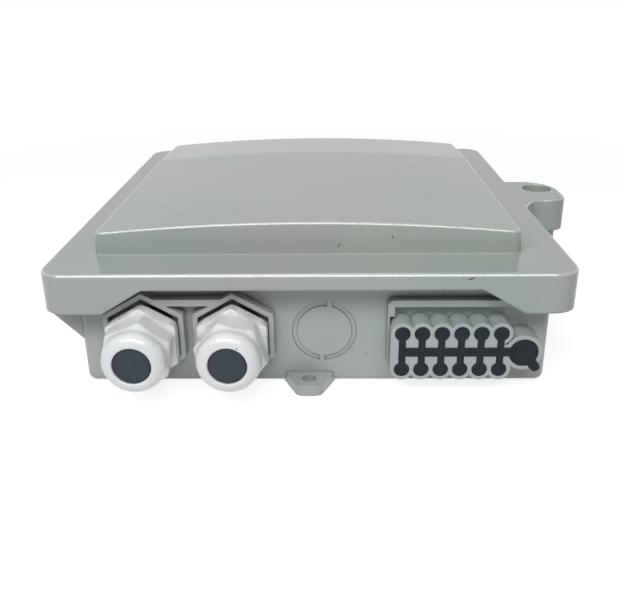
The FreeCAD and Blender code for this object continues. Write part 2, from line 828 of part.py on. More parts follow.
def make_lid_shell():
    """The lid: rim plate with skirt, raised panel, lock lug, hinge knuckles and gasket channel."""
    body = new_body("lid_shell")
    half = S.lid_width / 2
    plan = sketch_on(body, "XY_Plane", S.skirt_bottom)
    oblong(plan, -half, half, -lid_y, lid_y, S.lid_corner)
    pad(body, plan, S.rim_top - S.skirt_bottom)
    lug = sketch_on(body, "XY_Plane", S.rim_top)
    lug_outline(lug, as_size(0.0), half - S.lid_wall)
    pad(body, lug, S.rim_top - S.skirt_bottom, flip=True)
    rounded(body, S.rim_edge_round, lambda p: near(p.z, S.rim_top))
    # shallow recess in the rim plate, in front of the panel
    recess = sketch_on(body, "XY_Plane", S.rim_top)
    recess_half = S.recess_width / 2
    oblong(recess, S.panel_shift - recess_half, S.panel_shift + recess_half,
           S.recess_margin - lid_y, OVER - panel_front)
    pocket(body, recess, S.recess_depth)
    panel_mass(body, as_size(0.0), S.rim_top - S.lid_wall / 2, cut=False)
    panel_half = S.panel_width / 2
    corner_low = panel_half.value - NEAR
    corner_high = (panel_half + S.panel_draft).value + NEAR
    rounded(body, S.panel_corner, lambda p: p.z > (S.rim_top - S.recess_depth).value - NEAR
            and corner_low < abs(p.x - S.panel_shift.value) < corner_high
            and (near(p.y, -panel_front) or near(p.y, panel_back)))
    floor_of_top = (S.panel_end_height - S.panel_back_drop).value - NEAR
    rounded(body, S.panel_edge_round, lambda p: p.z > floor_of_top and (
        abs(p.x - S.panel_shift.value) > (panel_half - S.panel_corner).value - NEAR
        or p.y > (panel_back - S.panel_corner).value - NEAR
        or p.y < (S.panel_corner - panel_front).value + NEAR))
    # hollow under the rim plate and in the panel
    hollow = sketch_on(body, "XY_Plane", S.skirt_bottom)
    oblong(hollow, S.lid_wall - half, half - S.lid_wall, S.lid_wall - lid_y, lid_y - S.lid_wall,
           S.lid_corner - S.lid_wall)
    pocket(body, hollow, plate_under - S.skirt_bottom, flip=True)
    panel_mass(body, S.lid_wall, plate_under - S.lid_wall / 2, cut=True)
    # notch in the front skirt over the cable entries
    notch = sketch_on(body, "XZ_Plane", lid_y + OVER)
    outline(notch, [(S.notch_left_top, S.notch_top), (S.notch_right_top, S.notch_top),
                    (S.notch_right_foot, S.skirt_bottom), (S.notch_right_foot, S.skirt_bottom - OVER),
                    (S.notch_left_foot, S.skirt_bottom - OVER), (S.notch_left_foot, S.skirt_bottom)])
    pocket(body, notch, S.lid_wall + 2 * OVER)
    # gasket channel: outer and inner rib
    out = S.rib_gap
    outer = sketch_on(body, "XY_Plane", plate_under)
    for grow in (out + S.rib_thickness, out):
        oblong(outer, S.base_left - grow, S.base_right + grow, -wall_y - grow, wall_y + grow,
               S.base_corner + grow)
    pad(body, outer, plate_under - S.base_top + S.outer_rib_reach, flip=True)
    inner = sketch_on(body, "XY_Plane", plate_under)
    for shrink in (S.gasket_width + S.inner_rib_gap, S.gasket_width + S.inner_rib_gap + S.rib_thickness):
        oblong(inner, S.base_left + shrink, S.base_right - shrink, shrink - wall_y, wall_y - shrink,
               S.gasket_corner)
    pad(body, inner, S.inner_rib_height, flip=True)
    # lock cup and shank hole in the lug
    cup = sketch_on(body, "XY_Plane", S.rim_top)
    ring(cup, S.lock_x, S.lock_y, S.lock_cup_radius)
    pocket(body, cup, S.lock_cup_depth)
    shank = sketch_on(body, "XY_Plane", cup_floor)
    ring(shank, S.lock_x, S.lock_y, S.lock_shank_radius + S.bore_gap)
    pocket(body, shank, cup_floor - S.skirt_bottom)
    # hinge knuckles with their webs up to the skirt
    for side in hinge_sides:
        front = S.lid_knuckle / 2 - hinge_place * side
        web = sketch_on(body, "XZ_Plane", front)
        skirt_out = -half
        skirt_in = S.lid_wall - half
        outline(web, [(skirt_out, S.skirt_bottom + S.web_rise), (skirt_out + S.web_inset, S.hinge_z),
                      (S.hinge_x, S.hinge_z), (S.hinge_x + S.web_reach, S.hinge_z + S.web_thickness),
                      (skirt_in, S.skirt_bottom + S.web_rise)])
        pad(body, web, S.lid_knuckle, flip=True)
        barrel = sketch_on(body, "XZ_Plane", front)
        ring(barrel, S.hinge_x, S.hinge_z, S.barrel_radius)
        pad(body, barrel, S.lid_knuckle, flip=True)
        bore = sketch_on(body, "XZ_Plane", front)
        ring(bore, S.hinge_x, S.hinge_z, S.hinge_pin_radius + S.bore_gap)
        pocket(body, bore, S.lid_knuckle)
    return body


def make_gasket():
    """The rubber ring in the lid's channel."""
    body = new_body("lid_gasket")
    sketch = sketch_on(body, "XY_Plane", gasket_bottom)
    oblong(sketch, S.base_left, S.base_right, -wall_y, wall_y, S.base_corner)
    shrink = S.gasket_width
    oblong(sketch, S.base_left + shrink, S.base_right - shrink, shrink - wall_y, wall_y - shrink,
           S.gasket_corner)
    pad(body, sketch, plate_under - gasket_bottom)


def make_hinge_pins():
    """One steel pin for each pair of hinge arms."""
    for side, name in ((-1, "hinge_pin_lower"), (1, "hinge_pin_upper")):
        start = hinge_place * side - S.hinge_span / 2
        pin = rod(S.hinge_x, start, S.hinge_z, S.hinge_pin_radius, S.hinge_span, FreeCAD.Vector(0, 1, 0))
        keep(pin, name)


def make_lock():
    """The quarter-turn bolt in the lid's lug and the cross pin through its tail."""
    body = new_body("lock_bolt")
    tail_end = lug_top - S.base_lug_height - S.lock_tail
    sketch = sketch_on(body, "XZ_Plane")
    head_top = cup_floor + S.lock_head_height
    outline(sketch, [(0.0, tail_end), (S.lock_shank_radius, tail_end), (S.lock_shank_radius, cup_floor),
                     (S.lock_head_radius, cup_floor), (S.lock_head_radius, head_top), (0.0, head_top)])
    turned(body, sketch)
    socket = sketch_on(body, "XY_Plane", head_top)
    side = S.lock_socket / math.sqrt(3)
    outline(socket, [(0.0, 2 * side), (-S.lock_socket, -side), (S.lock_socket, -side)])
    pocket(body, socket, S.lock_head_height - S.lock_socket_floor)
    pin_z = lug_top - S.base_lug_height - S.running_gap - S.lock_pin_radius
    cross = sketch_on(body, "XZ_Plane", S.lock_head_radius)
    ring(cross, 0.0, pin_z, S.lock_pin_radius)
    pocket(body, cross, S.lock_head_radius * 2)
    place(body, S.lock_x, S.lock_y, 0.0)
    pin = rod(S.lock_x, S.lock_y - S.lock_pin_length / 2, pin_z, S.lock_pin_radius, S.lock_pin_length,
              FreeCAD.Vector(0, 1, 0))
    keep(pin, "lock_cross_pin")


def gland_piece(name, x, turn_degrees=0.0):
    """A body with its own Z axis out of the wall along the gland's axis."""
    body = new_body(name)
    facing = FreeCAD.Rotation(FreeCAD.Vector(1, 0, 0), 90)
    spin = FreeCAD.Rotation(UP, turn_degrees)
    place(body, x, -wall_y, S.gland_z, facing * spin)
    return body


def make_gland(side, x, turn):
    """Body, cap, seal, blanking plug, washer and locknut of one cable gland."""
    flange_end = S.gland_washer + S.gland_flange
    cap_start = flange_end + S.running_gap
    cap_end = cap_start + S.gland_cap_length
    spigot_end = -(S.base_wall + S.gland_nut + S.spigot_tip)
    thread, bore = S.gland_thread_radius, S.gland_bore_radius
    # body: flange, spigot through the wall, cap thread and tapering collet
    body = gland_piece(f"gland_body_{side}", x)
    flange = sketch_on(body, "XY_Plane", S.gland_washer)
    hexagon(flange, 0.0, 0.0, S.gland_flat)
    pad(body, flange, S.gland_flange)
    core = sketch_on(body, "XZ_Plane")
    thread_end = flange_end + S.thread_length
    collet_end = flange_end + S.collet_length
    outline(core, [(bore, spigot_end), (thread, spigot_end), (thread, thread_end),
                   (bore + S.collet_foot, thread_end + S.collet_taper), (bore + S.collet_tip, collet_end),
                   (bore, collet_end)])
    turned(body, core)
    through = sketch_on(body, "XY_Plane", cap_end)
    ring(through, 0.0, 0.0, bore)
    pocket(body, through, cap_end - spigot_end)
    # cap: hexagon that runs out into a dome
    cap = gland_piece(f"gland_cap_{side}", x, turn.value)
    prism = sketch_on(cap, "XY_Plane", cap_start)
    hexagon(prism, 0.0, 0.0, S.gland_cap_flat)
    pad(cap, prism, S.gland_cap_length)
    corner = S.gland_cap_flat / math.sqrt(3)
    mouth = bore + S.cap_mouth_step
    waste = sketch_on(cap, "XZ_Plane")
    outline(waste, [(corner + OVER, cap_start + S.gland_cap_hex - S.cap_hex_fade / 2),
                    (corner + OVER, cap_end + OVER), (mouth, cap_end + OVER), (mouth, cap_end),
                    (S.gland_cap_radius, cap_end, S.gland_nose_round),
                    (S.gland_cap_radius, cap_start + S.gland_cap_hex + S.cap_hex_fade / 2)])
    feature(cap, "PartDesign::Groove", waste, ReferenceAxis=(waste, ["V_Axis"]))
    inner = sketch_on(cap, "XZ_Plane")
    nose_bore = bore + S.gland_hole_gap
    inner_thread = thread + S.thread_gap
    outline(inner, [(0.0, cap_start), (inner_thread, cap_start),
                    (inner_thread, cap_start + S.cap_thread_length),
                    (nose_bore, cap_end - S.cap_nose_length), (nose_bore, cap_end), (0.0, cap_end)])
    feature(cap, "PartDesign::Groove", inner, ReferenceAxis=(inner, ["V_Axis"]))
    # seal sleeve and blanking plug
    seal_start = flange_end + S.sleeve_start
    seal_end = cap_end - S.plug_head - S.plug_inset
    sleeve_bore = bore - S.sleeve_fit - S.sleeve_wall
    stem_radius = sleeve_bore - S.sleeve_fit
    seal = gland_piece(f"gland_seal_{side}", x)
    sleeve = sketch_on(seal, "XY_Plane", seal_start)
    ring(sleeve, 0.0, 0.0, bore - S.sleeve_fit)
    ring(sleeve, 0.0, 0.0, sleeve_bore)
    pad(seal, sleeve, seal_end - seal_start)
    plug = gland_piece(f"gland_plug_{side}", x)
    stem = sketch_on(plug, "XZ_Plane")
    head_radius = nose_bore - S.thread_gap
    outline(stem, [(0.0, seal_start), (stem_radius, seal_start), (stem_radius, seal_end),
                   (head_radius, seal_end), (head_radius, cap_end - S.plug_inset - S.plug_dish),
                   (0.0, cap_end - S.plug_inset)])
    turned(plug, stem)
    # washer outside and locknut inside the wall
    washer = gland_piece(f"gland_washer_{side}", x)
    flat_ring = sketch_on(washer, "XY_Plane")
    ring(flat_ring, 0.0, 0.0, S.gland_flat / 2 - S.washer_inset)
    ring(flat_ring, 0.0, 0.0, inner_thread)
    pad(washer, flat_ring, S.gland_washer)
    nut = gland_piece(f"gland_nut_{side}", x)
    hexed = sketch_on(nut, "XY_Plane", -S.base_wall)
    hexagon(hexed, 0.0, 0.0, S.gland_flat - S.nut_inset)
    ring(hexed, 0.0, 0.0, thread + S.bore_gap)
    pad(nut, hexed, S.gland_nut, flip=True)


def port_stem_boxes(half_width, grow, front, back):
    """Upright stems between the port rows and the spine that ties them to the big port."""
    parts = []
    for column in range(PORT_COLUMNS):
        x = port_x(column)
        parts.append(box(x - half_width, x + half_width, front, back, S.port_bottom_z, S.port_top_z))
    half_spine = S.spine_height / 2 + grow
    parts.append(box(port_x(0), S.big_port_x, front, back, S.spine_z - half_spine, S.spine_z + half_spine))
    return parts


def tail_bar(grow, reach, front, back):
    """The pull tab's round-ended bar, which leaves the big port at an angle."""
    half = S.tail_width / 2 + grow
    bar = doc.addObject("Part::Box", "Tail")
    bind(bar, "Length", reach)
    bind(bar, "Width", back - front)
    bind(bar, "Height", half * 2)
    lean = FreeCAD.Rotation(FreeCAD.Vector(0, -1, 0), S.tail_angle.value)
    corner = lean.multVec(FreeCAD.Vector(0, 0, -half.value))
    place(bar, S.big_port_x + corner.x, front, S.big_port_z + corner.z, lean)
    end = lean.multVec(FreeCAD.Vector(reach.value, 0, 0))
    along = FreeCAD.Vector(0, 1, 0)
    tip = rod(S.big_port_x + end.x, front, S.big_port_z + end.z, half, back - front, along)
    return joined(bar, tip)


def port_rods(radius, big_radius, start, length):
    """Cylinders along Y at every port, from a start plane inwards."""
    along = FreeCAD.Vector(0, 1, 0)
    rods = [rod(port_x(column), start, z, radius, length, along)
            for column in range(PORT_COLUMNS) for z in port_rows]
    rods.append(rod(S.big_port_x, start, S.big_port_z, big_radius, length, along))
    return rods


def make_ports():
    """The drop-port block and the rubber comb that closes all of its ports."""
    face = -wall_y - S.port_reach
    web = box(S.port_first_x - S.port_tube_radius, S.big_port_x, face, -wall_y,
              S.port_bottom_z, S.port_top_z)
    web_end = port_x(PORT_COLUMNS - 1) + S.port_web_reach
    corner_cut = box(web_end, S.big_port_x + OVER, face - OVER, OVER - wall_y,
                     S.big_port_z + S.port_web_half, S.port_top_z + OVER)
    low_cut = box(web_end, S.big_port_x + OVER, face - OVER, OVER - wall_y,
                  S.port_bottom_z - OVER, S.big_port_z - S.port_web_half)
    solid = joined(carved(web, corner_cut, low_cut),
                   *port_rods(S.port_tube_radius, S.big_tube_radius, face, S.port_reach))
    slots = port_stem_boxes(S.stem_width / 2 + S.seal_fit, S.seal_fit, face, face + S.seal_depth)
    slots.append(tail_bar(S.seal_fit, S.big_tube_radius + OVER, face, face + S.seal_depth))
    block = carved(solid, *port_rods(S.port_bore_radius, S.big_bore_radius, face, S.port_reach), *slots)
    keep(block, "port_block")
    front = face - S.seal_proud
    seal_back = face + S.seal_depth - S.seal_back_gap
    pieces = port_stem_boxes(S.stem_width / 2, 0.0, front, seal_back)
    pieces.append(tail_bar(0.0, S.tail_reach - S.tail_width / 2, front, seal_back))
    pieces += port_rods(S.port_bore_radius - S.seal_fit, S.big_bore_radius - S.seal_fit, front,
                        S.seal_pin_length)
    keep(joined(*pieces), "port_seal")


def make_clamps():
    """Arched straps over the incoming cables, each on two bosses."""
    along = FreeCAD.Vector(0, 1, 0)
    low = S.clamp_boss_height
    for side, x, _ in gland_places:
        y0 = S.clamp_y - S.clamp_width / 2
        y1 = S.clamp_y + S.clamp_width / 2
        reach = S.clamp_spread + S.boss_radius + S.strap_margin
        strap = box(x - reach, x + reach, y0, y1, low, low + S.clamp_thickness)
        arch = rod(x, y0, low, S.clamp_arch + S.clamp_thickness, S.clamp_width, along)
        depth = S.clamp_arch + S.clamp_thickness + OVER
        below = box(x - reach, x + reach, y0 - OVER, y1 + OVER, low - depth, low)
        way = rod(x, y0 - OVER, low, S.clamp_arch, S.clamp_width + 2 * OVER, along)
        holes = [rod(x + S.clamp_spread * end, S.clamp_y, low - OVER, S.screw_radius + S.screw_hole_gap,
                     S.clamp_thickness + 2 * OVER) for end in (-1, 1)]
        keep(carved(joined(strap, arch), below, way, *holes), f"cable_clamp_{side}")


def screw(x, y, boss_top, clamped, length):
    """A pan-head screw through a clamped thickness into a boss."""
    seat = boss_top + clamped
    tip = boss_top - length + S.screw_tip_gap
    shank = rod(x, y, tip, S.screw_radius, seat - tip)
    head = rod(x, y, seat, S.screw_head_radius, S.screw_head_height)
    reach, half = S.cross_reach, S.cross_half
    top = seat + S.screw_head_height
    floor = top - S.cross_depth
    slots = [box(x - reach, x + reach, y - half, y + half, floor, top + OVER),
             box(x - half, x + half, y - reach, y + reach, floor, top + OVER)]
    return carved(joined(shank, head), *slots)


def make_screws():
    """The screws of the clamps, the tray and the adapter bracket, one group each."""
    sets = (("clamp_screws", clamp_screw_places(), S.clamp_boss_height, S.clamp_thickness, S.screw_length),
            ("tray_screws", tray_screw_places(), S.tray_bottom, S.tray_height + S.cover_thickness,
             S.screw_length),
            ("bracket_screws", bracket_screw_places(), S.bracket_boss_height, S.bracket_thickness,
             S.short_screw_length))
    for name, places, boss_top, clamped, length in sets:
        keep(group(*[screw(x, y, boss_top, clamped, length) for x, y in places]), name)


def make_tray():
    """The splice tray with its winding rings, the splice holder and the clear cover."""
    body = new_body("splice_tray")
    half_x, half_y = S.tray_width / 2, S.tray_length / 2
    x, y, wall = S.tray_x, S.tray_y, S.tray_wall
    plan = sketch_on(body, "XY_Plane", S.tray_bottom)
    oblong(plan, x - half_x, x + half_x, y - half_y, y + half_y, S.tray_corner)
    pad(body, plan, S.tray_height)
    hollow = sketch_on(body, "XY_Plane", S.tray_bottom + S.tray_height)
    oblong(hollow, x - half_x + wall, x + half_x - wall, y - half_y + wall, y + half_y - wall,
           S.tray_corner - wall)
    pocket(body, hollow, S.tray_height - wall)
    for side in (-1, 1):
        winding = sketch_on(body, "XY_Plane", S.tray_bottom + wall)
        ring(winding, x + S.ring_spread * side, y, S.ring_radius)
        ring(winding, x + S.ring_spread * side, y, S.ring_radius - S.ring_wall)
        pad(body, winding, S.tray_height - wall)
        for end in (-1, 1):
            pillar = sketch_on(body, "XY_Plane", S.tray_bottom + wall)
            ring(pillar, x + S.tray_screw_x * side, y + S.tray_screw_y * end, S.boss_radius)
            pad(body, pillar, S.tray_height - wall)
            hole = sketch_on(body, "XY_Plane", S.tray_bottom + S.tray_height)
            ring(hole, x + S.tray_screw_x * side, y + S.tray_screw_y * end,
                 S.screw_radius + S.screw_hole_gap)
            pocket(body, hole, S.tray_height)
    # fibre entries through the front and back rims, and ways through the rings
    for side in (-1, 1):
        entry = sketch_on(body, "XY_Plane", S.tray_bottom + S.tray_height)
        middle = x + S.ring_spread * side
        oblong(entry, middle - S.tray_gate_half, middle + S.tray_gate_half,
               y - half_y - OVER, y + half_y + OVER)
        pocket(body, entry, S.tray_height - wall)
        shelf = sketch_on(body, "XY_Plane", S.tray_bottom + S.tray_height)
        oblong(shelf, middle - S.ring_radius - OVER, middle + S.ring_radius + OVER,
               y - S.ring_gate_half, y + S.ring_gate_half)
        pocket(body, shelf, S.tray_height - wall)
    # splice holder between the rings
    holder_z = S.tray_bottom + wall
    half_w, half_l = S.holder_width / 2, S.holder_length / 2
    block = box(x - half_w, x + half_w, y - half_l, y + half_l, holder_z, holder_z + S.holder_height)
    pitch = S.holder_length / S.holder_rows
    grooves = []
    for row in range(int(S.holder_rows.value)):
        middle = y - half_l + pitch * (row + 0.5)
        grooves.append(box(x - half_w - OVER, x + half_w + OVER, middle - S.holder_groove / 2,
                           middle + S.holder_groove / 2, holder_z + S.holder_base,
                           holder_z + S.holder_height + OVER))
    lane = S.holder_lane_half
    grooves.append(box(x - lane, x + lane, y - half_l - OVER, y + half_l + OVER,
                       holder_z + S.holder_base, holder_z + S.holder_height + OVER))
    keep(carved(block, *grooves), "splice_holder")
    # clear cover on the tray's rim
    cover = new_body("tray_cover")
    cover_plan = sketch_on(cover, "XY_Plane", S.tray_bottom + S.tray_height)
    oblong(cover_plan, x - half_x, x + half_x, y - half_y, y + half_y, S.tray_corner)
    for side in (-1, 1):
        for end in (-1, 1):
            ring(cover_plan, x + S.tray_screw_x * side, y + S.tray_screw_y * end,
                 S.screw_radius + S.screw_hole_gap)
    pad(cover, cover_plan, S.cover_thickness)


def make_bracket():
    """The bent steel bracket that carries the adapters."""
    body = new_body("adapter_bracket")
    profile = sketch_on(body, "YZ_Plane", -bracket_half)
    back = S.panel_y + S.bracket_thickness
    foot_top = S.bracket_boss_height + S.bracket_thickness
    outline(profile, [(S.panel_y, S.bracket_boss_height, S.bracket_bend + S.bracket_thickness),
                      (back + S.bracket_foot, S.bracket_boss_height), (back + S.bracket_foot, foot_top),
                      (back, foot_top, S.bracket_bend), (back, S.bracket_height),
                      (S.panel_y, S.bracket_height)])
    pad(body, profile, bracket_half * 2)
    windows = sketch_on(body, "XZ_Plane", -S.panel_y)
    half_w = S.adapter_width / 2 + S.adapter_fit
    half_h = S.adapter_height / 2 + S.adapter_fit
    for number in range(ADAPTER_COUNT):
        x = adapter_x(number)
        oblong(windows, x - half_w, x + half_w, S.adapter_z - half_h, S.adapter_z + half_h)
    pocket(body, windows, S.bracket_thickness)
    holes = sketch_on(body, "XY_Plane", foot_top)
    for side in (-1, 1):
        ring(holes, bracket_screw_x * side, bracket_screw_y, S.screw_radius + S.screw_hole_gap)
    pocket(body, holes, S.bracket_thickness)


def make_adapter(number):
    """One square fibre adapter: shell with two cavities, flange and inner sleeve."""
    x, z = adapter_x(number), S.adapter_z
    half_w, half_h = S.adapter_width / 2, S.adapter_height / 2
    front = S.panel_y + S.bracket_thickness / 2 - S.adapter_length / 2
    back = front + S.adapter_length
    lip = S.adapter_flange_lip
    shell = box(x - half_w, x + half_w, front, back, z - half_h, z + half_h)
    flange = box(x - half_w - lip, x + half_w + lip, S.panel_y - S.adapter_flange, S.panel_y,
                 z - half_h - lip, z + half_h + lip)
    wall = S.adapter_wall
    depth = (S.adapter_length - S.adapter_core) / 2
    cavities = [box(x - half_w + wall, x + half_w - wall, start, start + depth,
                    z - half_h + wall, z + half_h - wall) for start in (front, back - depth)]
    keyway = [box(x - S.key_half, x + S.key_half, start, start + S.key_length,
                  z + half_h - wall - S.key_under, z + half_h) for start in (front, back - S.key_length)]
    along = FreeCAD.Vector(0, 1, 0)
    sleeve_length = S.adapter_length - 2 * S.sleeve_inset
    sleeve = rod(x, front + S.sleeve_inset, z, S.sleeve_radius, sleeve_length, along)
    bore = rod(x, front, z, S.sleeve_bore, S.adapter_length, along)
    hollowed = carved(joined(shell, flange), *cavities, *keyway)
    keep(carved(joined(hollowed, sleeve), bore), f"adapter_{number + 1:02d}")
    cap_half_w = half_w - wall - S.cap_gap
    cap_half_h = half_h - wall - S.cap_gap
    caps = []
    for mouth, out in ((front, -1), (back, 1)):
        near_face, far_face = mouth - S.cap_insert * out, mouth + S.cap_brim * out
        tip = far_face + S.cap_handle * out
        ends = (near_face, far_face) if out > 0 else (far_face, near_face)
        handle_ends = (far_face, tip) if out > 0 else (tip, far_face)
        cup = box(x - cap_half_w, x + cap_half_w, *ends, z - cap_half_h, z + cap_half_h)
        handle = box(x - S.cap_handle_width / 2, x + S.cap_handle_width / 2, *handle_ends,
                     z - cap_half_h / 2, z + cap_half_h / 2)
        caps.append(joined(cup, handle))
    return caps


def make_guides():
    """Open rings that guide the fibres along the side walls, on their own foot pads."""
    guides = []
    for side in (-1, 1):
        for step in range(GUIDE_ROWS):
            x = S.guide_x * side
            y = S.guide_y + S.guide_step * step
            centre = S.base_wall + S.guide_radius
            along = FreeCAD.Vector(0, 1, 0)
            outer = rod(x, y, centre, S.guide_radius, S.guide_width, along)
            inner = rod(x, y, centre, S.guide_radius - S.guide_wall, S.guide_width, along)
            mouth = box(x - S.guide_gap / 2, x + S.guide_gap / 2, y, y + S.guide_width,
                        centre, centre + S.guide_radius + OVER)
            foot = box(x - S.guide_radius, x + S.guide_radius, y, y + S.guide_width,
                       S.base_wall, S.base_wall + S.guide_wall)
            guides.append(joined(carved(outer, inner, mouth), foot))
    keep(group(*guides), "fibre_guides")


def build():
    """Make every sub-part of the box."""
    make_base_shell()
    make_lid_shell()
    make_gasket()
    make_hinge_pins()
    make_lock()
    for side, x, turn in gland_places:
        make_gland(side, x, turn)
    make_ports()
    make_clamps()
    make_tray()
    make_bracket()
    caps = [cap for number in range(ADAPTER_COUNT) for cap in make_adapter(number)]
    keep(group(*caps), "adapter_dust_caps")
    make_screws()
    make_guides()
    doc.recompute()


def check():
    """Stop if any object failed or any sub-part has no valid solid."""
    for obj in doc.Objects:
        if "Invalid" in obj.State or "Error" in obj.State:
            raise RuntimeError(f"{obj.Name} ({obj.Label}) failed: {obj.State}")
    for node in nodes:
        shape = node.Shape
        if shape.isNull() or not shape.isValid() or not shape.Solids:
            raise RuntimeError(f"{node.Label} has no valid solid")
        print(f"{node.Label}: {len(shape.Solids)} solid, {shape.Volume:.0f} mm3")


def export():
    """Write one STEP file for each sub-part."""
    os.makedirs("parts", exist_ok=True)
    for node in nodes:
        node.Shape.exportStep(f"parts/{node.Label}.step")


build()
check()
export()
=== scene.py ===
"""Dresses the packed fibre distribution box: grey-green ABS shells, nylon glands and rubber seals.

Lengths are metres in the box's own frame: X across the lid, Y away from the cable entries, Z out of
the wall. Sizes written in millimetres pass through MM.
"""

import logging
import math
from dataclasses import dataclass, field
from enum import Enum

import bmesh
import bpy
import numpy as np
from bpy.types import Material, Node, NodeSocket, Object, World
from mathutils import Matrix, Vector


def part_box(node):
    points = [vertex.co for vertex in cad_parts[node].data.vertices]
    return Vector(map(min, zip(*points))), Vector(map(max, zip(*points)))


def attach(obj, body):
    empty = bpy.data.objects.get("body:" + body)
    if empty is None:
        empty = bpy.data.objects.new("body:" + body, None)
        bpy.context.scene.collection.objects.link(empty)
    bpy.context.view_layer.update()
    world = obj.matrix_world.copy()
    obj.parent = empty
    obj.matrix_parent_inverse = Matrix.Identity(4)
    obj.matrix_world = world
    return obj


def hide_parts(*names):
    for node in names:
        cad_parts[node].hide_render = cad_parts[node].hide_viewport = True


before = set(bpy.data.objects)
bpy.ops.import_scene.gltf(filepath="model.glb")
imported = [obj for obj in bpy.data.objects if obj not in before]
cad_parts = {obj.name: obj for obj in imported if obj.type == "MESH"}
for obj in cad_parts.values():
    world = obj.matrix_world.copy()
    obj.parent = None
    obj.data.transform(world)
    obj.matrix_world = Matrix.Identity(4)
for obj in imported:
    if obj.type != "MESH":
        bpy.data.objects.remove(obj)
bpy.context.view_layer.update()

MM = 0.001
AROUND = 240  # points round a piece with a hexagonal section
LOG = logging.getLogger("fibre_box")


# Small tools


def linear(code: str) -> tuple[float, float, float, float]:
    """Turn an sRGB hex colour into linear RGBA.

    Args:
        code: Six hex digits, such as "A4ABA6".

    Returns:
        Linear red, green and blue, with alpha 1.
    """
    parts = [int(code[i:i + 2], 16) / 255 for i in (0, 2, 4)]
    made = [c / 12.92 if c <= 0.04045 else ((c + 0.055) / 1.055) ** 2.4 for c in parts]
    return made[0], made[1], made[2], 1.0


def centre_of(node: str) -> np.ndarray:
    """Find the middle of a CAD node's box at rest, in metres."""
    low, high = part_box(node)
    return (np.array(low) + np.array(high)) / 2


def spot(owner: Material | World, kind: str, settings: dict | None = None,
         links: dict | None = None) -> Node:
    """Add one shader node with its settings and links.

    Args:
        owner: The material or world that gets the node.
        kind: Blender's type name of the node, without the ShaderNode that all begin with.
        settings: Values by property name, or by input name or number for sockets.
        links: Output sockets by input name or number.

    Returns:
        The new node.
    """
    node = owner.node_tree.nodes.new("ShaderNode" + kind)
    for key, value in (settings or {}).items():
        if isinstance(key, str) and key in node.bl_rna.properties:
            setattr(node, key, value)
        else:
            node.inputs[key].default_value = value
    for key, socket in (links or {}).items():
        owner.node_tree.links.new(socket, node.inputs[key])
    return node


@dataclass
class Patch:
    """Points and faces of a surface or of several joined ones."""

    points: np.ndarray
    faces: np.ndarray

    def __add__(self, other: "Patch") -> "Patch":
        """Join both surfaces into one."""
        shifted = other.faces + len(self.points)
        return Patch(np.vstack([self.points, other.points]), np.vstack([self.faces, shifted]))


def woven(grid: np.ndarray, wrap_rows: bool, wrap_columns: bool) -> Patch:
    """Lay faces over a grid of points: each cell of the two-parameter grid is one four-sided face.

    Args:
        grid: Points as an array of rows, columns and three coordinates.
        wrap_rows: Whether the last row joins the first.
        wrap_columns: Whether the last column joins the first.

    Returns:
        The surface.
    """
    rows, columns = grid.shape[:2]
    index = np.arange(rows * columns).reshape(rows, columns)
    row_next = np.roll(index, -1, axis=0)
    if not wrap_rows:
        index, row_next = index[:-1], row_next[:-1]
    ahead = np.roll(index, -1, axis=1)
    row_ahead = np.roll(row_next, -1, axis=1)
    cells = np.stack([index, ahead, row_ahead, row_next], axis=-1)
    if not wrap_columns:
        cells = cells[:, :-1]
    return Patch(grid.reshape(-1, 3), cells.reshape(-1, 4))


def shape_of(name: str, patch: Patch, weld: float = 1e-6) -> Object:
    """Make an object at the origin from a surface, with doubles merged and faces turned outwards.

    Args:
        name: Name of the piece.
        patch: The surface.
        weld: Distance under which points merge, in metres.

    Returns:
        The new object.
    """
    mesh = bpy.data.meshes.new(name)
    count = len(patch.faces)
    mesh.vertices.add(len(patch.points))
    mesh.vertices.foreach_set("co", patch.points.astype(np.float32).ravel())
    mesh.loops.add(count * 4)
    mesh.loops.foreach_set("vertex_index", patch.faces.astype(np.int32).ravel())
    mesh.polygons.add(count)
    mesh.polygons.foreach_set("loop_start", np.arange(0, count * 4, 4, dtype=np.int32))
    mesh.update(calc_edges=True)
    bm = bmesh.new()
    bm.from_mesh(mesh)
    bmesh.ops.remove_doubles(bm, verts=bm.verts, dist=weld)
    bmesh.ops.dissolve_degenerate(bm, edges=bm.edges, dist=weld)
    bmesh.ops.recalc_face_normals(bm, faces=bm.faces)
    bm.to_mesh(mesh)
    bm.free()
    mesh.validate()
    thing = bpy.data.objects.new(name, mesh)
    bpy.context.scene.collection.objects.link(thing)
    return thing


def smooth(thing: Object, limit_degrees: float) -> None:
    """Shade a piece smooth, with its edges sharper than a limit kept crisp."""
    thing.data.polygons.foreach_set("use_smooth", [True] * len(thing.data.polygons))
    thing.data.set_sharp_from_angle(angle=math.radians(limit_degrees))


def turned(profile: np.ndarray, steps: int, closed: bool) -> Patch:
    """Turn a profile of (radius, height) about the Z axis: x = r cos a, y = r sin a, z = height.

    Args:
        profile: Points of the profile.
        steps: Divisions round the axis.
        closed: Whether the profile's end joins its start.

    Returns:
        The surface.
    """
    angle = np.linspace(0, 2 * math.pi, steps, endpoint=False)
    radius, height = profile[:, :1], profile[:, 1:]
    grid = np.stack([radius * np.cos(angle), radius * np.sin(angle), height + 0 * angle], axis=-1)
    return woven(grid, closed, True)


def arc_points(centre: tuple[float, float], radius: float, start: float, end: float,
               count: int) -> np.ndarray:
    """Lay points on an arc: centre + radius times (cos a, sin a).

    Args:
        centre: Middle of the arc.
        radius: Radius of the arc.
        start: First angle in degrees.
        end: Last angle in degrees.
        count: How many points.

    Returns:
        The points as rows of two coordinates.
    """
    angle = np.radians(np.linspace(start, end, count))
    return np.stack([centre[0] + radius * np.cos(angle), centre[1] + radius * np.sin(angle)], axis=-1)


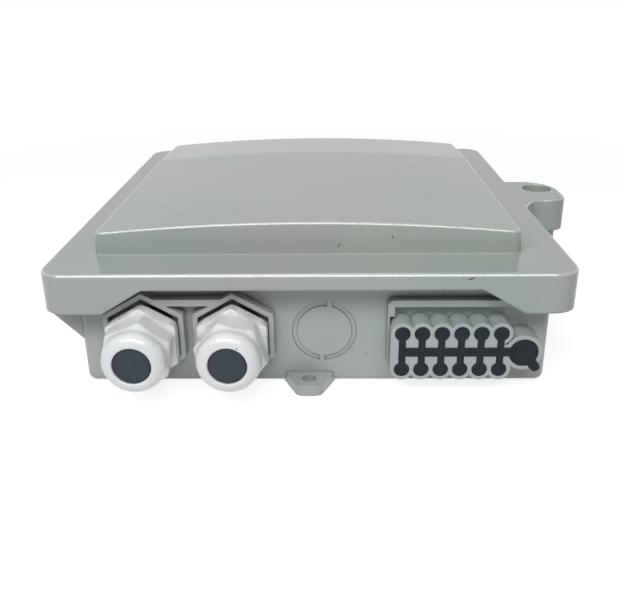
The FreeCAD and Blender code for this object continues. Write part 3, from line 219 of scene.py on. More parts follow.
def rounded_block(low: tuple, high: tuple, radius: float, steps: int = 24) -> Patch:
    """Make a block with rounded edges: the middle, plus the inner half sizes times the sign of a
    direction on the sphere, plus the radius times that direction.

    Args:
        low: Lowest corner.
        high: Highest corner.
        radius: Edge radius.
        steps: Divisions round the block, a multiple of four.

    Returns:
        The closed surface.
    """
    around = (np.arange(steps) + 0.5) * 2 * math.pi / steps
    rise = np.concatenate([[-math.pi / 2], (np.arange(steps // 2) + 0.5) * math.pi / (steps // 2)
                           - math.pi / 2, [math.pi / 2]])
    flat = np.cos(rise)[:, None]
    way = np.stack([flat * np.cos(around), flat * np.sin(around),
                    np.sin(rise)[:, None] + 0 * around], axis=-1)
    middle = (np.array(low) + np.array(high)) / 2
    core = np.maximum((np.array(high) - np.array(low)) / 2 - radius, 0)
    return woven(middle + np.sign(way) * core + radius * way, False, True)


def stadium_bar(length: float, half: float, front: float, back: float, edge: float,
                steps: int = 40) -> Patch:
    """Make a flat bar along X with round ends and a rounded front edge, its thickness along Y.

    Its outline at an inset is two half circles of the half width less the inset, one about the
    origin and one about the bar's far middle.

    Args:
        length: From the near middle to the far middle.
        half: Half of the bar's width.
        front: Y of the front face.
        back: Y of the back face.
        edge: Radius of the front edge.
        steps: Points round the outline.

    Returns:
        The closed surface.
    """
    angle = (np.arange(steps) + 0.5) * 2 * math.pi / steps
    middle = np.where(np.cos(angle) > 0, length, 0.0)
    turn = np.radians(np.linspace(90, 0, 5))
    inset = np.concatenate([[half], edge * (1 - np.cos(turn)), [0.0, half]])
    depth = np.concatenate([[front], front + edge * (1 - np.sin(turn)), [back, back]])
    share = np.concatenate([[0.0], np.ones(len(turn) + 1), [0.0]])
    reach = (half - inset)[:, None]
    along = share[:, None] * middle + (1 - share[:, None]) * length / 2 + reach * np.cos(angle)
    grid = np.stack([along, depth[:, None] + 0 * angle, reach * np.sin(angle)], axis=-1)
    return woven(grid, False, True)


def soft_min(a: np.ndarray, b: np.ndarray, blend: float) -> np.ndarray:
    """Take the smaller of two values, rounded off where they meet: min(a, b) less blend times h
    squared over four, where h falls from one to nothing as the values part by the blend.

    Args:
        a: First values.
        b: Second values.
        blend: Difference at which the rounding ends.

    Returns:
        The rounded minimum.
    """
    gap = np.clip(1 - np.abs(a - b) / blend, 0, None)
    return np.minimum(a, b) - blend * gap * gap / 4


def hexagon_radius(angle: np.ndarray, flat: float) -> np.ndarray:
    """Measure from the middle to a hexagon's side: half its width over the cosine of the angle from
    the nearest flat's middle. Two of its corners lie on the Y axis.

    Args:
        angle: Angles about the middle, in radians.
        flat: Width across flats.

    Returns:
        The distances.
    """
    away = np.mod(angle + math.pi / 6, math.pi / 3) - math.pi / 6
    return flat / 2 / np.cos(away)


def carried(patch: Patch, origin: np.ndarray, spin_degrees: float = 0.0) -> Patch:
    """Stand a surface modelled about Z on the entry wall: turn it about Z, lay Z along -Y, move it.

    Args:
        patch: The surface.
        origin: Where its origin goes.
        spin_degrees: Turn about its own axis.

    Returns:
        The placed surface.
    """
    spin = Matrix.Rotation(math.radians(spin_degrees), 3, "Z")
    lean = Matrix.Rotation(math.radians(90), 3, "X") @ spin
    return Patch(patch.points @ np.array(lean).T + origin, patch.faces)


# Finishes


def blank(name: str) -> tuple[Material, NodeSocket]:
    """Start a material without nodes but for its object coordinates.

    Args:
        name: Name of the material.

    Returns:
        The material and its coordinate socket.
    """
    made = bpy.data.materials.new(name)
    made.use_nodes = True
    made.node_tree.nodes.clear()
    return made, spot(made, "TexCoord").outputs["Object"]


@dataclass(frozen=True)
class Mark:
    """A speck of dirt or a scratch, from one point of the surface to another, in millimetres."""

    start: tuple[float, float, float]
    end: tuple[float, float, float]
    radius: float = 0.35
    strength: float = 0.8
    tone: str = "2E3236"

    def over(self, made: Material, place: NodeSocket,
             colour: NodeSocket) -> NodeSocket:
        """Lay the mark over a colour: its share falls with the distance to the line between its ends.

        The foot of that distance is the start plus the run times the clamped share of the run that
        the dot product gives.

        Args:
            made: The material.
            place: Its coordinate socket.
            colour: The colour under the mark.

        Returns:
            The colour with the mark.
        """
        start = Vector(self.start) * MM
        run = Vector(self.end) * MM - start
        unit = run / max(run.length_squared, 1e-12)
        away = spot(made, "VectorMath", {"operation": "SUBTRACT", 1: start}, {0: place})
        along = spot(made, "VectorMath", {"operation": "DOT_PRODUCT", 1: unit},
                     {0: away.outputs["Vector"]})
        held = spot(made, "Clamp", None, {"Value": along.outputs["Value"]})
        foot = spot(made, "VectorMath", {"operation": "SCALE", 0: run},
                    {"Scale": held.outputs["Result"]})
        gap = spot(made, "VectorMath", {"operation": "DISTANCE"},
                   {0: away.outputs["Vector"], 1: foot.outputs["Vector"]})
        share = spot(made, "MapRange", {"From Min": self.radius * MM * 1.3,
                                        "From Max": self.radius * MM * 0.5,
                                        "To Max": self.strength},
                     {"Value": gap.outputs["Value"]})
        laid = spot(made, "Mix", {"data_type": "RGBA", 7: linear(self.tone)},
                    {0: share.outputs["Result"], 6: colour})
        return laid.outputs[2]


@dataclass(frozen=True)
class MouldedPlastic:
    """Injection-moulded plastic: slow drift between three close tones, faint flow marks in the gloss,
    a fine satin grain, a few hairline rubs and softly broken edges.

    The drift is slow, tens of millimetres; flow marks lie 40 mm apart and stretch along the mould;
    the grain is 0.4 mm, drawn coarser than the real 0.05 mm so that it shows. An edge is rounded to
    edge_mm in the shading and is paler by a painted highlight; polish is the extra gloss of upper
    edges, creases are darkened by painted shade, and glow is the light that passes under the surface.
    """

    name: str
    colour: str
    deep: str
    warm: str
    roughness: float = 0.3
    shine: float = 0.5
    ior: float = 1.53
    deep_share: float = 0.75
    warm_share: float = 0.85
    warm_seed: float = 7.3
    grain_mm: float = 0.4
    grain_depth_mm: float = 0.003
    drift_mm: float = 60.0
    flow_mm: float = 40.0
    sag_mm: float = 0.03
    hair_mm: float = 0.9
    rub: float = 0.03
    edge_mm: float = 0.3
    # Painted highlight on edges: its strength and pale tone
    edge_highlight: float = 0.0
    edge_highlight_tone: str = "E4E8E6"
    polish: float = 0.0
    polish_ior: float = 1.8
    polish_roughness: float = 0.1
    corner_mm: float = 3.0
    # Painted shade in creases: its strength and dark tone
    dust: float = 0.0
    crease_shade_tone: str = "3E4646"
    crease_mm: float = 1.2
    glow: float = 0.0
    glow_mm: float = 2.5
    alpha: float = 1.0
    marks: tuple[Mark, ...] = ()

    def toned(self, made: Material, place: NodeSocket) -> NodeSocket:
        """Mix the deep and the warm tone into the main one by two slow noises, then lay the marks.

        Args:
            made: The material.
            place: Its coordinate socket.

        Returns:
            The colour.
        """
        colour = None
        tones = ((self.deep, 0.0, self.deep_share), (self.warm, self.warm_seed, self.warm_share))
        for tone, seed, share in tones:
            drift = spot(made, "TexNoise", {"noise_dimensions": "4D", "W": seed, "Detail": 3.0,
                                            "Scale": 1 / (self.drift_mm * MM)}, {"Vector": place})
            amount = spot(made, "MapRange", {"From Min": 0.38, "From Max": 0.66,
                                             "To Max": share}, {"Value": drift.outputs["Fac"]})
            mix = spot(made, "Mix", {"data_type": "RGBA", 6: linear(self.colour),
                                     7: linear(tone)}, {0: amount.outputs["Result"]})
            if colour:
                made.node_tree.links.new(colour, mix.inputs[6])
            colour = mix.outputs[2]
        for mark in self.marks:
            colour = mark.over(made, place, colour)
        return colour

    def shade_creases(self, made: Material, colour: NodeSocket) -> NodeSocket:
        """Paint shade into creases: a dark tone whose share grows as the openness round the point
        falls.

        Args:
            made: The material.
            colour: The clean colour.

        Returns:
            The colour with dust.
        """
        open_air = spot(made, "AmbientOcclusion", {"samples": 4, "Distance": self.crease_mm * MM})
        amount = spot(made, "MapRange", {"From Min": 0.85, "From Max": 0.35, "To Max": self.dust},
                      {"Value": open_air.outputs["AO"]})
        mix = spot(made, "Mix", {"data_type": "RGBA", 7: linear(self.crease_shade_tone)},
                   {0: amount.outputs["Result"], 6: colour})
        return mix.outputs[2]

    def highlight_edges(self, made: Material, colour: NodeSocket,
              broken: Node) -> NodeSocket:
        """Paint a highlight on edges: paler by one less the dot product of the broken and the true
        normal.

        Args:
            made: The material.
            colour: The colour of the faces.
            broken: The node that gives the rounded normal.

        Returns:
            The colour with painted highlights on its edges.
        """
        true = spot(made, "NewGeometry")
        turn = spot(made, "VectorMath", {"operation": "DOT_PRODUCT"},
                    {0: broken.outputs["Normal"], 1: true.outputs["Normal"]})
        edge = spot(made, "MapRange", {"From Min": 0.995, "From Max": 0.85, "To Min": 0.0,
                                       "To Max": self.edge_highlight}, {"Value": turn.outputs["Value"]})
        pale = spot(made, "Mix", {"data_type": "RGBA", 7: linear(self.edge_highlight_tone)},
                    {0: edge.outputs["Result"], 6: colour})
        return pale.outputs[2]

    def polished(self, made: Material, shader: Node,
                 broken: Node, normal: NodeSocket) -> None:
        """Give the upper outside edges the higher gloss of a mould's polished corner.

        The share is the product of two ramps over the upward part of the broken normal, up from
        the faces that stand and down to those that lie flat, and of the openness round the point,
        which leaves out inside corners.

        Args:
            made: The material.
            shader: Its surface shader.
            broken: The node that gives the rounded normal.
            normal: The normal with grain, for the gloss.
        """
        own = spot(made, "VectorTransform", {"vector_type": "NORMAL", "convert_from": "WORLD",
                                             "convert_to": "OBJECT"}, {0: broken.outputs["Normal"]})
        up = spot(made, "SeparateXYZ", None, {0: own.outputs[0]}).outputs["Z"]
        open_air = spot(made, "AmbientOcclusion", {"samples": 4, "only_local": True,
                                                   "Distance": self.corner_mm * MM}).outputs["AO"]
        share = None
        for value, start, end in ((up, 0.2, 0.45), (up, 0.97, 0.9), (open_air, 0.8, 1.0)):
            ramp = spot(made, "MapRange", {"From Min": start, "From Max": end},
                        {"Value": value}).outputs["Result"]
            if share:
                ramp = spot(made, "Math", {"operation": "MULTIPLY"}, {0: share, 1: ramp}).outputs[0]
            share = ramp
        raised = (("Specular IOR Level", self.shine, 1.0), ("Coat Weight", 0.0, self.polish))
        for target, low, high in raised:
            value = spot(made, "MapRange", {"To Min": low, "To Max": high}, {"Value": share})
            made.node_tree.links.new(value.outputs["Result"], shader.inputs[target])
        shader.inputs["Coat IOR"].default_value = self.polish_ior
        shader.inputs["Coat Roughness"].default_value = self.polish_roughness
        made.node_tree.links.new(normal, shader.inputs["Coat Normal"])

    def make(self) -> Material:
        """Build the material.

        Returns:
            The material.
        """
        made, place = blank(self.name)
        broken = spot(made, "Bevel", {"samples": 6, "Radius": self.edge_mm * MM})
        colour = self.toned(made, place)
        # Painted shade darkens creases and a painted highlight makes edges paler
        if self.dust:
            colour = self.shade_creases(made, colour)
        if self.edge_highlight:
            colour = self.highlight_edges(made, colour, broken)
        stretched = spot(made, "Mapping", {"Scale": (1.0, 0.35, 1.0)}, {"Vector": place})
        flow = spot(made, "TexNoise", {"Scale": 1 / (self.flow_mm * MM), "Detail": 2.0,
                                       "Roughness": 0.45, "Distortion": 0.4},
                    {"Vector": stretched.outputs["Vector"]})
        gloss = spot(made, "MapRange", {"From Min": 0.3, "From Max": 0.75,
                                        "To Min": self.roughness * 0.85,
                                        "To Max": self.roughness * 1.2}, {"Value": flow.outputs["Fac"]})
        hairs = spot(made, "Mapping", {"Rotation": (0.3, 0.2, 0.6), "Scale": (1.0, 0.02, 0.3)},
                     {"Vector": place})
        rubs = spot(made, "TexNoise", {"Scale": 1 / (self.hair_mm * MM), "Detail": 2.0},
                    {"Vector": hairs.outputs["Vector"]})
        rubbed = spot(made, "MapRange", {"From Min": 0.68, "From Max": 0.76,
                                         "To Max": self.rub}, {"Value": rubs.outputs["Fac"]})
        rough = spot(made, "Math", {"operation": "ADD"},
                     {0: gloss.outputs["Result"], 1: rubbed.outputs["Result"]})
        grain = spot(made, "TexNoise", {"Scale": 1 / (self.grain_mm * MM), "Detail": 4.0,
                                        "Roughness": 0.6}, {"Vector": place})
        bump = spot(made, "Bump", {"Distance": self.grain_depth_mm * MM},
                    {"Height": grain.outputs["Fac"], "Normal": broken.outputs["Normal"]})
        sagged = spot(made, "Bump", {"Distance": self.sag_mm * MM},
                      {"Height": flow.outputs["Fac"], "Normal": bump.outputs["Normal"]})
        shader = spot(made, "BsdfPrincipled", {"IOR": self.ior, "Alpha": self.alpha,
                                               "Specular IOR Level": self.shine,
                                               "Subsurface Weight": self.glow,
                                               "Subsurface Scale": self.glow_mm * MM},
                      {"Base Color": colour, "Roughness": rough.outputs[0],
                       "Normal": sagged.outputs["Normal"]})
        if self.polish:
            self.polished(made, shader, broken, sagged.outputs["Normal"])
        spot(made, "OutputMaterial", None, {"Surface": shader.outputs["BSDF"]})
        return made


@dataclass(frozen=True)
class MouldedRubber:
    """Moulded rubber: dark, dull, with a dusty bloom in the open and a fine pebble of 0.5 mm."""

    name: str
    colour: str
    bloom: str
    roughness: float = 0.62
    shine: float = 0.5
    ior: float = 1.52
    cloud_mm: float = 7.0
    pebble_mm: float = 0.5
    pebble_depth_mm: float = 0.02

    def make(self) -> Material:
        """Build the material.

        Returns:
            The material.
        """
        made, place = blank(self.name)
        cloud = spot(made, "TexNoise", {"Scale": 1 / (self.cloud_mm * MM), "Detail": 4.0,
                                        "Roughness": 0.65}, {"Vector": place})
        amount = spot(made, "MapRange", {"From Min": 0.4, "From Max": 0.75, "To Max": 0.7},
                      {"Value": cloud.outputs["Fac"]})
        colour = spot(made, "Mix", {"data_type": "RGBA", 6: linear(self.colour),
                                    7: linear(self.bloom)}, {0: amount.outputs["Result"]})
        pebble = spot(made, "TexNoise", {"Scale": 1 / (self.pebble_mm * MM), "Detail": 3.0},
                      {"Vector": place})
        bump = spot(made, "Bump", {"Distance": self.pebble_depth_mm * MM},
                    {"Height": pebble.outputs["Fac"]})
        shader = spot(made, "BsdfPrincipled", {"Roughness": self.roughness, "IOR": self.ior,
                                               "Specular IOR Level": self.shine},
                      {"Base Color": colour.outputs[2], "Normal": bump.outputs["Normal"]})
        spot(made, "OutputMaterial", None, {"Surface": shader.outputs["BSDF"]})
        return made


@dataclass(frozen=True)
class PlatedSteel:
    """Zinc-plated steel: bright grey with cloudy passivation and rolling lines 0.3 mm apart."""

    name: str
    colour: str
    tint: str
    roughness: float = 0.34
    cloud_mm: float = 6.0
    line_mm: float = 0.3
    line_depth_mm: float = 0.006

    def make(self) -> Material:
        """Build the material.

        Returns:
            The material.
        """
        made, place = blank(self.name)
        cloud = spot(made, "TexNoise", {"Scale": 1 / (self.cloud_mm * MM), "Detail": 5.0},
                     {"Vector": place})
        colour = spot(made, "Mix", {"data_type": "RGBA", 6: linear(self.colour),
                                    7: linear(self.tint)}, {0: cloud.outputs["Fac"]})
        drawn = spot(made, "Mapping", {"Scale": (0.03, 1.0, 1.0)}, {"Vector": place})
        lines = spot(made, "TexNoise", {"Scale": 1 / (self.line_mm * MM), "Detail": 3.0},
                     {"Vector": drawn.outputs["Vector"]})
        gloss = spot(made, "MapRange", {"To Min": self.roughness * 0.8, "To Max": self.roughness * 1.3},
                     {"Value": lines.outputs["Fac"]})
        bump = spot(made, "Bump", {"Distance": self.line_depth_mm * MM},
                    {"Height": lines.outputs["Fac"]})
        shader = spot(made, "BsdfPrincipled", {"Metallic": 1.0},
                      {"Base Color": colour.outputs[2], "Roughness": gloss.outputs["Result"],
                       "Normal": bump.outputs["Normal"]})
        spot(made, "OutputMaterial", None, {"Surface": shader.outputs["BSDF"]})
        return made


LID_MARKS = (
    Mark((13.8, -106.1, 64.3), (14.7, -106.1, 65.8), 0.28),
    Mark((39.3, -106.1, 69.7), (39.7, -106.1, 68.4), 0.26),
    Mark((-2.4, -110.8, 60.0), (-2.4, -110.8, 60.0), 0.5, 0.55),
    Mark((71.3, -132.5, 57.8), (73.3, -132.5, 58.5), 0.4),
    Mark((59.5, -132.5, 52.9), (61.0, -132.5, 52.9), 0.3, 0.5),
    Mark((66.4, -132.5, 52.9), (67.4, -132.5, 52.9), 0.3, 0.35),
    Mark((74.6, -132.5, 52.9), (77.9, -132.5, 52.9), 0.3, 0.45),
    Mark((-76.5, -65.1, 73.7), (-61.7, -93.0, 74.6), 0.22, 0.4),
    Mark((-76.7, -71.5, 73.6), (-66.5, -91.3, 74.3), 0.2, 0.25),
    Mark((-87.6, -96.8, 72.8), (-75.7, -95.3, 73.7), 0.25, 0.3, "D3D8D6"),
    Mark((-113.8, 51.4, 60.5), (-113.8, 51.4, 60.5), 0.5, 0.35),
    Mark((-118.3, -14.0, 60.5), (-118.3, -14.0, 60.5), 0.5, 0.3),
    Mark((60.7, 11.5, 74.6), (58.2, 8.0, 74.7), 0.6, 0.2),
    Mark((49.1, -10.5, 75.2), (50.0, -10.5, 75.1), 0.4, 0.25),
)


class Finish(Enum):
    """The finishes of the box, with colours as sRGB hex codes and marks in millimetres."""

    # Moulded ABS: glossy lid with polished corners, satin base, paler port tubes; all three have
    # painted highlights on edges, base and ports painted shade in creases
    LID = MouldedPlastic("glossy_abs_lid", "A1A9A1", "96A1A2", "A5A4A3", roughness=0.13,
                         shine=0.22, edge_mm=1.3, edge_highlight=0.1, polish=0.8, marks=LID_MARKS)
    HOUSING = MouldedPlastic(
        "satin_abs_housing", "A2ABA5", "97A2A0", "A5A5A4", roughness=0.24, edge_highlight=0.15, dust=0.8,
        marks=(Mark((27.4, -120.1, 15.1), (27.4, -120.1, 15.1), 0.4, 0.6),))
    PORTS = MouldedPlastic("pale_abs_ports", "A6AFAA", "9BA6A5", "A9A9A8", roughness=0.24,
                           edge_highlight=0.4, dust=0.4)
    # Moulded nylon: white and slightly waxy, because light passes under its skin
    NYLON = MouldedPlastic(
        "white_nylon", "DBDEDF", "D3D9DC", "DEDAD8", roughness=0.24, drift_mm=30.0, grain_mm=0.6,
        grain_depth_mm=0.008, glow=0.1,
        marks=(Mark((-30.6, -153.5, 34.7), (-30.3, -153.5, 34.0), 0.25),))
    # Inner mouldings: matt white tray, green adapters with painted highlights on edges, milky caps,
    # clear cover
    TRAY = MouldedPlastic("white_abs_tray", "D5D8D8", "C9CDCD", "D6D4D0", roughness=0.42)
    ADAPTER = MouldedPlastic("green_adapter_plastic", "1F8A4C", "1A7A43", "2A8E4A", roughness=0.45,
                             drift_mm=8.0, edge_highlight=0.1)
    CAP = MouldedPlastic("milky_cap_plastic", "DDE0E2", "CBD0D4", "E0DEDA", roughness=0.5,
                         drift_mm=6.0, glow=0.2)
    CLEAR = MouldedPlastic("clear_polycarbonate", "DCE3E6", "D2DADE", "DDE2E0", roughness=0.12,
                           alpha=0.32)
    # Moulded rubber: dull blue-black; zinc on steel: pale grey with a cloudy sheen
    RUBBER = MouldedRubber("dark_seal_rubber", "15262E", "23353F")
    COMB = MouldedRubber("drop_port_rubber", "171E24", "222B32", roughness=0.7, shine=0.25)
    FOAM = MouldedRubber("black_gasket_rubber", "1C1D1E", "2A2C2D", roughness=0.8)
    STEEL = PlatedSteel("zinc_plated_steel", "C9CBCC", "B4B8BA")
    SHEET = PlatedSteel("galvanised_sheet", "C2C6C8", "A9AFB2", roughness=0.42)


MADE: dict[Finish, Material] = {}


def dress(thing: Object, finish: Finish) -> None:
    """Give a piece one finish in all its material slots.

    Args:
        thing: The piece.
        finish: What it is made of.
    """
    if finish not in MADE:
        MADE[finish] = finish.value.make()
    if not thing.material_slots:
        thing.data.materials.append(MADE[finish])
    for holder in thing.material_slots:
        holder.material = MADE[finish]


def stand_for(thing: Object, node: str, body: str, finish: Finish) -> None:
    """Let a new piece stand for a CAD node, ride its body and wear a finish.

    Args:
        thing: The new piece.
        node: The CAD node that it replaces.
        body: The body that it rides on.
        finish: What it is made of.
    """
    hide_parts(node)
    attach(thing, body)
    dress(thing, finish)
    LOG.info("%s stands for %s", thing.name, node)


# Sub-assemblies


@dataclass
class Shells:
    """The base, gasket and port block as the CAD gives them, and the lid with its rim drawn level."""

    finishes: dict[str, Finish] = field(default_factory=lambda: {
        "base_shell": Finish.HOUSING, "port_block": Finish.PORTS, "lid_gasket": Finish.FOAM})
    step_z: float = 60.0 * MM
    rim_z: float = 60.5 * MM
    step_front: float = -100.0 * MM
    near: float = 0.02 * MM
    same: float = 1e-6
    least_area: float = 1e-12

    def lid(self) -> None:
        """Draw the CAD's lid with its rim level where the CAD has a shallow step before the panel.

        Each point of the step's floor rises to the rim's height, points that then meet are merged,
        and triangles left without area are dropped. The CAD's own normals stay.
        """
        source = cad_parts["lid_shell"].data
        points = np.empty(len(source.vertices) * 3)
        source.vertices.foreach_get("co", points)
        points = points.reshape(-1, 3)
        corners = np.empty(len(source.loops), dtype=np.int32)
        source.loops.foreach_get("vertex_index", corners)
        normals = np.empty(len(source.loops) * 3)
        source.corner_normals.foreach_get("vector", normals)
        floor = (np.abs(points[:, 2] - self.step_z) < self.near) & (points[:, 1] < self.step_front)
        points[floor, 2] = self.rim_z
        _, first, place = np.unique(np.round(points / self.same), axis=0, return_index=True,
                                    return_inverse=True)
        points = points[first]
        faces = place.ravel()[corners].reshape(-1, 3)
        sides = points[faces[:, 1:]] - points[faces[:, :1]]
        kept = np.linalg.norm(np.cross(sides[:, 0], sides[:, 1]), axis=-1) > self.least_area
        mesh = bpy.data.meshes.new("lid_cover")
        mesh.from_pydata(points, [], faces[kept])
        mesh.polygons.foreach_set("use_smooth", [True] * len(mesh.polygons))
        mesh.normals_split_custom_set(normals.reshape(-1, 3, 3)[kept].reshape(-1, 3))
        piece = bpy.data.objects.new("lid_cover", mesh)
        bpy.context.scene.collection.objects.link(piece)
        stand_for(piece, "lid_shell", "lid", Finish.LID)

    def build(self) -> None:
        """Dress the shells."""
        self.lid()
        for node, finish in self.finishes.items():
            dress(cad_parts[node], finish)
            LOG.info("%s dressed", node)


@dataclass
class Gland:
    """One nylon cable gland: hexagonal flange, domed cap, blanking plug, washer and inner nut.

    Heights run outwards along the gland's axis from the outer face of the wall.
    """

    side: str
    spin: float
    wall_y: float
    flat: float = 32.2 * MM
    flange_start: float = 6.4 * MM
    flange_end: float = 13.7 * MM
    cap_flat: float = 29.6 * MM
    cap_start: float = 14.0 * MM
    cap_end: float = 33.5 * MM
    cap_radius: float = 14.6 * MM
    cap_blend: float = 1.4 * MM
    cone_length: float = 3.6 * MM
    nose: float = 5.4 * MM
    lip: float = 0.7 * MM
    thread: float = 12.4 * MM
    bore: float = 8.4 * MM
    pitch: float = 1.5 * MM
    ridge: float = 0.28 * MM
    spigot_start: float = -9.0 * MM
    spigot_rise: float = 6.0 * MM
    flange_blend: float = 0.5 * MM
    nut_flat: float = 31.2 * MM
    nut_start: float = -2.5 * MM
    nut_end: float = -7.5 * MM
    nut_blend: float = 0.3 * MM
    plug_sunk: float = 0.5 * MM
    plug_hollow: float = 0.35 * MM
    plug_round: float = 0.7 * MM
    plug_thick: float = 5.0 * MM
    plug_step: float = 2.5 * MM

    def axis_point(self) -> np.ndarray:
        """Find where the gland's axis meets the outer face of the wall."""
        middle = centre_of(f"gland_washer_{self.side}")
        return np.array([middle[0], self.wall_y, middle[2]])

    def hexed(self, profile: np.ndarray, share: np.ndarray, flat: float, blend: float) -> Patch:
        """Turn a profile whose marked rows are cut back to a hexagon: the radius there is the soft
        minimum of the profile's own and the hexagon's.

        Args:
            profile: Closed profile of (radius, height).
            share: For each point of the profile, whether the hexagon cuts there.
            flat: Width across flats.
            blend: Width of the rounding between hexagon and profile.

        Returns:
            The closed surface.
        """
        angle = np.linspace(0, 2 * math.pi, AROUND, endpoint=False)
        sides = hexagon_radius(angle, flat)[None, :]
        plain = profile[:, :1] + 0 * angle
        cut = soft_min(plain, sides + 0 * plain, blend)
        radius = np.where(share[:, None], cut, plain)
        grid = np.stack([radius * np.cos(angle), radius * np.sin(angle),
                         profile[:, 1:] + 0 * angle], axis=-1)
        return woven(grid, True, True)

    def cap(self) -> None:
        """Build the cap: a hexagon whose corners run through a cone into a dome, open at the nose."""
        corner = self.cap_flat / math.sqrt(3)
        nose, lip = self.nose, self.lip
        rear = arc_points((corner - 1.3 * MM, self.cap_start + 1.0 * MM), 1.0 * MM, -80, -10, 5)
        side = corner - 0.1 * MM
        grips = np.array([(side, self.cap_start + 2.0 * MM), (side, self.cap_start + 8.6 * MM)])
        cone_z = np.linspace(self.cap_start + 9.2 * MM, self.cap_end - nose, 14)
        along = np.clip((cone_z - cone_z[0]) / self.cone_length, 0, 1)
        cone_r = corner - (corner - self.cap_radius) * np.sin(along * math.pi / 2)
        cone = np.stack([cone_r, cone_z], axis=-1)
        dome = arc_points((self.cap_radius - nose, self.cap_end - nose), nose, 4, 84, 16)
        mouth = arc_points((self.bore + 1.0 * MM, self.cap_end - lip), lip, 90, 180, 6)
        inside = np.array([[self.bore + 0.3 * MM, self.cap_end - 6.0 * MM],
                           [self.thread + 0.2 * MM, self.cap_start + 7.0 * MM],
                           [self.thread + 0.2 * MM, self.cap_start]])
        profile = np.vstack([rear, grips, cone, dome, mouth, inside])
        outer = len(rear) + len(grips) + len(cone) + len(dome)
        share = np.arange(len(profile)) < outer
        patch = self.hexed(profile, share, self.cap_flat, self.cap_blend)
        piece = shape_of(f"gland_dome_{self.side}", carried(patch, self.axis_point(), self.spin))
        smooth(piece, 50)
        stand_for(piece, f"gland_cap_{self.side}", "box", Finish.NYLON)

    def body(self) -> None:
        """Build the body: chamfered hexagonal flange and threaded spigot through the wall."""
        corner = self.flat / math.sqrt(3)
        back = self.spigot_start
        front = self.flange_end + self.spigot_rise
        height = np.arange(back, front, self.pitch / 6)
        outside = height > self.flange_end
        inside = height < self.flange_start
        side = corner - 0.1 * MM
        rim = [(corner - 0.9 * MM, self.flange_start), (side, self.flange_start + 0.8 * MM),
               (side, self.flange_end - 1.0 * MM), (corner - 2.4 * MM, self.flange_end)]
        profile = np.vstack([
            np.stack([np.full(inside.sum(), self.thread), height[inside]], axis=-1),
            np.array([[self.thread, self.flange_start]]), np.array(rim),
            np.array([[self.thread, self.flange_end]]),
            np.stack([np.full(outside.sum(), self.thread), height[outside]], axis=-1),
            np.array([[self.bore + 1.4 * MM, front + 2.0 * MM], [self.bore, front + 2.0 * MM],
                      [self.bore, back]])])
        share = np.zeros(len(profile))
        first = inside.sum() + 1
        share[first:first + len(rim)] = 1
        patch = self.hexed(profile, share, self.flat, self.flange_blend)
        points = patch.points.reshape(len(profile), AROUND, 3)
        turn = np.arctan2(points[..., 1], points[..., 0]) / (2 * math.pi)
        ridge = self.ridge * np.cos(2 * math.pi * (points[..., 2] / self.pitch - turn))
        threaded = np.isclose(profile[:, 0], self.thread, atol=1e-7)[:, None]
        reach = np.hypot(points[..., 0], points[..., 1])
        scale = np.where(threaded, (reach - self.ridge + ridge) / reach, 1.0)
        points[..., :2] *= scale[..., None]
        patch = Patch(points.reshape(-1, 3), patch.faces)
        piece = shape_of(f"gland_spigot_{self.side}", carried(patch, self.axis_point()))
        smooth(piece, 40)
        stand_for(piece, f"gland_body_{self.side}", "box", Finish.NYLON)

    def nut(self) -> None:
        """Build the locknut inside the wall, with chamfered corners and an undercut bore edge."""
        corner = self.nut_flat / math.sqrt(3)
        start, end = self.nut_start, self.nut_end
        profile = np.array([(self.thread + 0.1 * MM, start), (corner - 0.5 * MM, start),
                            (corner, start - 0.6 * MM), (corner, end + 1.0 * MM),
                            (corner - 1.8 * MM, end), (self.thread + 0.9 * MM, end),
                            (self.thread + 0.1 * MM, end + 0.8 * MM)])
        share = np.array([0, 1, 1, 1, 1, 0, 0])
        patch = self.hexed(profile, share, self.nut_flat, self.nut_blend)
        piece = shape_of(f"gland_locknut_{self.side}", carried(patch, self.axis_point()))
        smooth(piece, 30)
        stand_for(piece, f"gland_nut_{self.side}", "box", Finish.NYLON)

    def plug(self) -> None:
        """Build the blanking plug: a rubber disc with a soft edge and a faint hollow, on a stem."""
        face = self.cap_end - self.plug_sunk
        radius = self.bore + 0.1 * MM
        start = self.flange_end + 1.0 * MM
        across = np.linspace(0, radius - 0.8 * MM, 12)
        hollow = np.stack([across, face - self.plug_hollow * (1 - (across / radius) ** 2)], axis=-1)
        edge = arc_points((radius - self.plug_round, face - 0.75 * MM), self.plug_round, 85, 0, 6)
        stem, under = self.bore - self.plug_step, face - self.plug_thick
        foot = np.array([[radius, under], [stem, under], [stem, start], [0.0, start]])
        patch = turned(np.vstack([hollow, edge, foot]), 96, False)
        piece = shape_of(f"gland_blank_{self.side}", carried(patch, self.axis_point()))
        smooth(piece, 40)
        stand_for(piece, f"gland_plug_{self.side}", "box", Finish.RUBBER)

    def build(self) -> None:
        """Build and dress the gland."""
        self.cap()
        self.body()
        self.nut()
        self.plug()
        for part in ("seal", "washer"):
            dress(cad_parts[f"gland_{part}_{self.side}"], Finish.RUBBER)


